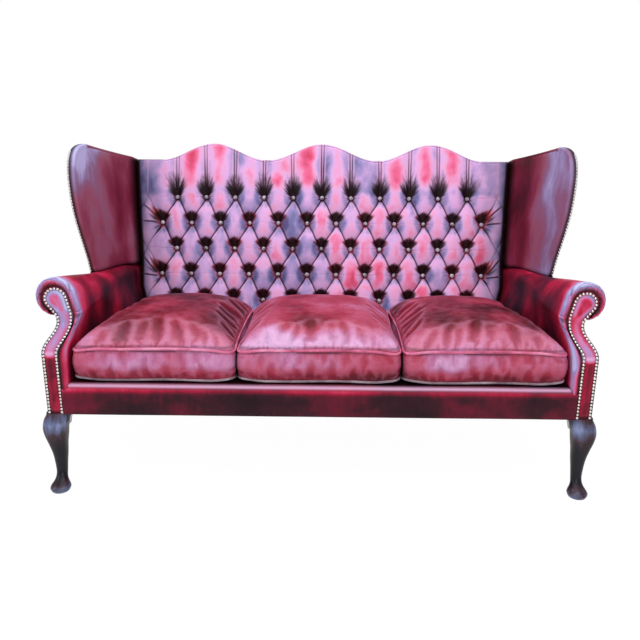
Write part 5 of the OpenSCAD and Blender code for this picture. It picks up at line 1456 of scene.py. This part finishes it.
def buildFloor():
    reach = studio["floorReach"]
    mesh = bpy.data.meshes.new("floor")
    mesh.from_pydata([(-reach, -reach, 0), (reach, -reach, 0), (reach, reach, 0), (-reach, reach, 0)], [],
                     [(0, 1, 2, 3)])
    floor = bpy.data.objects.new("floor", mesh)
    bpy.context.scene.collection.objects.link(floor)
    # the floor keeps the shadow, and looks near-white to the camera and in what the gloss shows
    made, tree, shader, place = newMaterial("white studio floor")
    mottle = addNode(tree, "TexNoise", {"Vector": place, "Scale": perMetre(studio["mottle"])})
    tone = addNode(tree, "ValToRGB", {"Fac": mottle}, stops=[(0.3, "#f4f4f4"), (0.7, "#fafafa")])
    feed(tree, shader, {"Base Color": tone, "Roughness": 0.9})
    seen = addNode(tree, "LightPath").outputs
    glow = addNode(tree, "Emission", {"Color": colour("#ffffff"), "Strength": studio["floorGlow"]})
    straight = seen["Is Camera Ray"]
    for ray in ("Is Glossy Ray", "Is Transmission Ray"):
        straight = mathNode(tree, "MAXIMUM", straight, seen[ray])
    share = mathNode(tree, "MULTIPLY", straight, studio["floorShare"])
    both = addNode(tree, "MixShader", {0: share, 1: shader, 2: glow})
    feed(tree, tree.nodes["Material Output"], {"Surface": both})
    mesh.materials.append(made)


def buildWorld():
    world = bpy.data.worlds.new("studio")
    bpy.context.scene.world = world
    world.use_nodes = True
    tree = world.node_tree
    tree.nodes.clear()
    path = addNode(tree, "LightPath").outputs
    sky = addNode(tree, "Background", {"Color": colour("#f2f4fa"), "Strength": studio["sky"]})
    white = addNode(tree, "Background", {"Color": colour("#ffffff"), "Strength": 1.0})
    either = mathNode(tree, "MAXIMUM", path["Is Camera Ray"], path["Is Transmission Ray"])
    mix = addNode(tree, "MixShader", {0: either, 1: sky, 2: white})
    addNode(tree, "OutputWorld", {0: mix})


def addLamps():
    for name, (at, aim, size, power, tint) in lamps.items():
        light = bpy.data.lights.new(name, "AREA")
        light.size = size
        light.energy = power
        light.color = colour(tint)[:3]
        lamp = bpy.data.objects.new(name, light)
        lamp.location = at
        lamp.rotation_euler = (Vector(aim) - Vector(at)).to_track_quat("-Z", "Y").to_euler()
        bpy.context.scene.collection.objects.link(lamp)


def addCamera():
    lens = bpy.data.cameras.new("camera")
    lens.lens = studio["lens"]
    lens.sensor_width = studio["sensor"]
    camera = bpy.data.objects.new("camera", lens)
    camera.matrix_world = Matrix.Translation(studio["cameraAt"])
    for angle, axis in ((studio["turn"], "Z"), (90 - studio["tilt"], "X"), (studio["roll"], "Z")):
        camera.matrix_world = camera.matrix_world @ Matrix.Rotation(math.radians(angle), 4, axis)
    bpy.context.scene.collection.objects.link(camera)
    bpy.context.scene.camera = camera
    bpy.context.scene.view_settings.view_transform = "Standard"


buildFloor()
buildWorld()
addLamps()
addCamera()
print("studio")
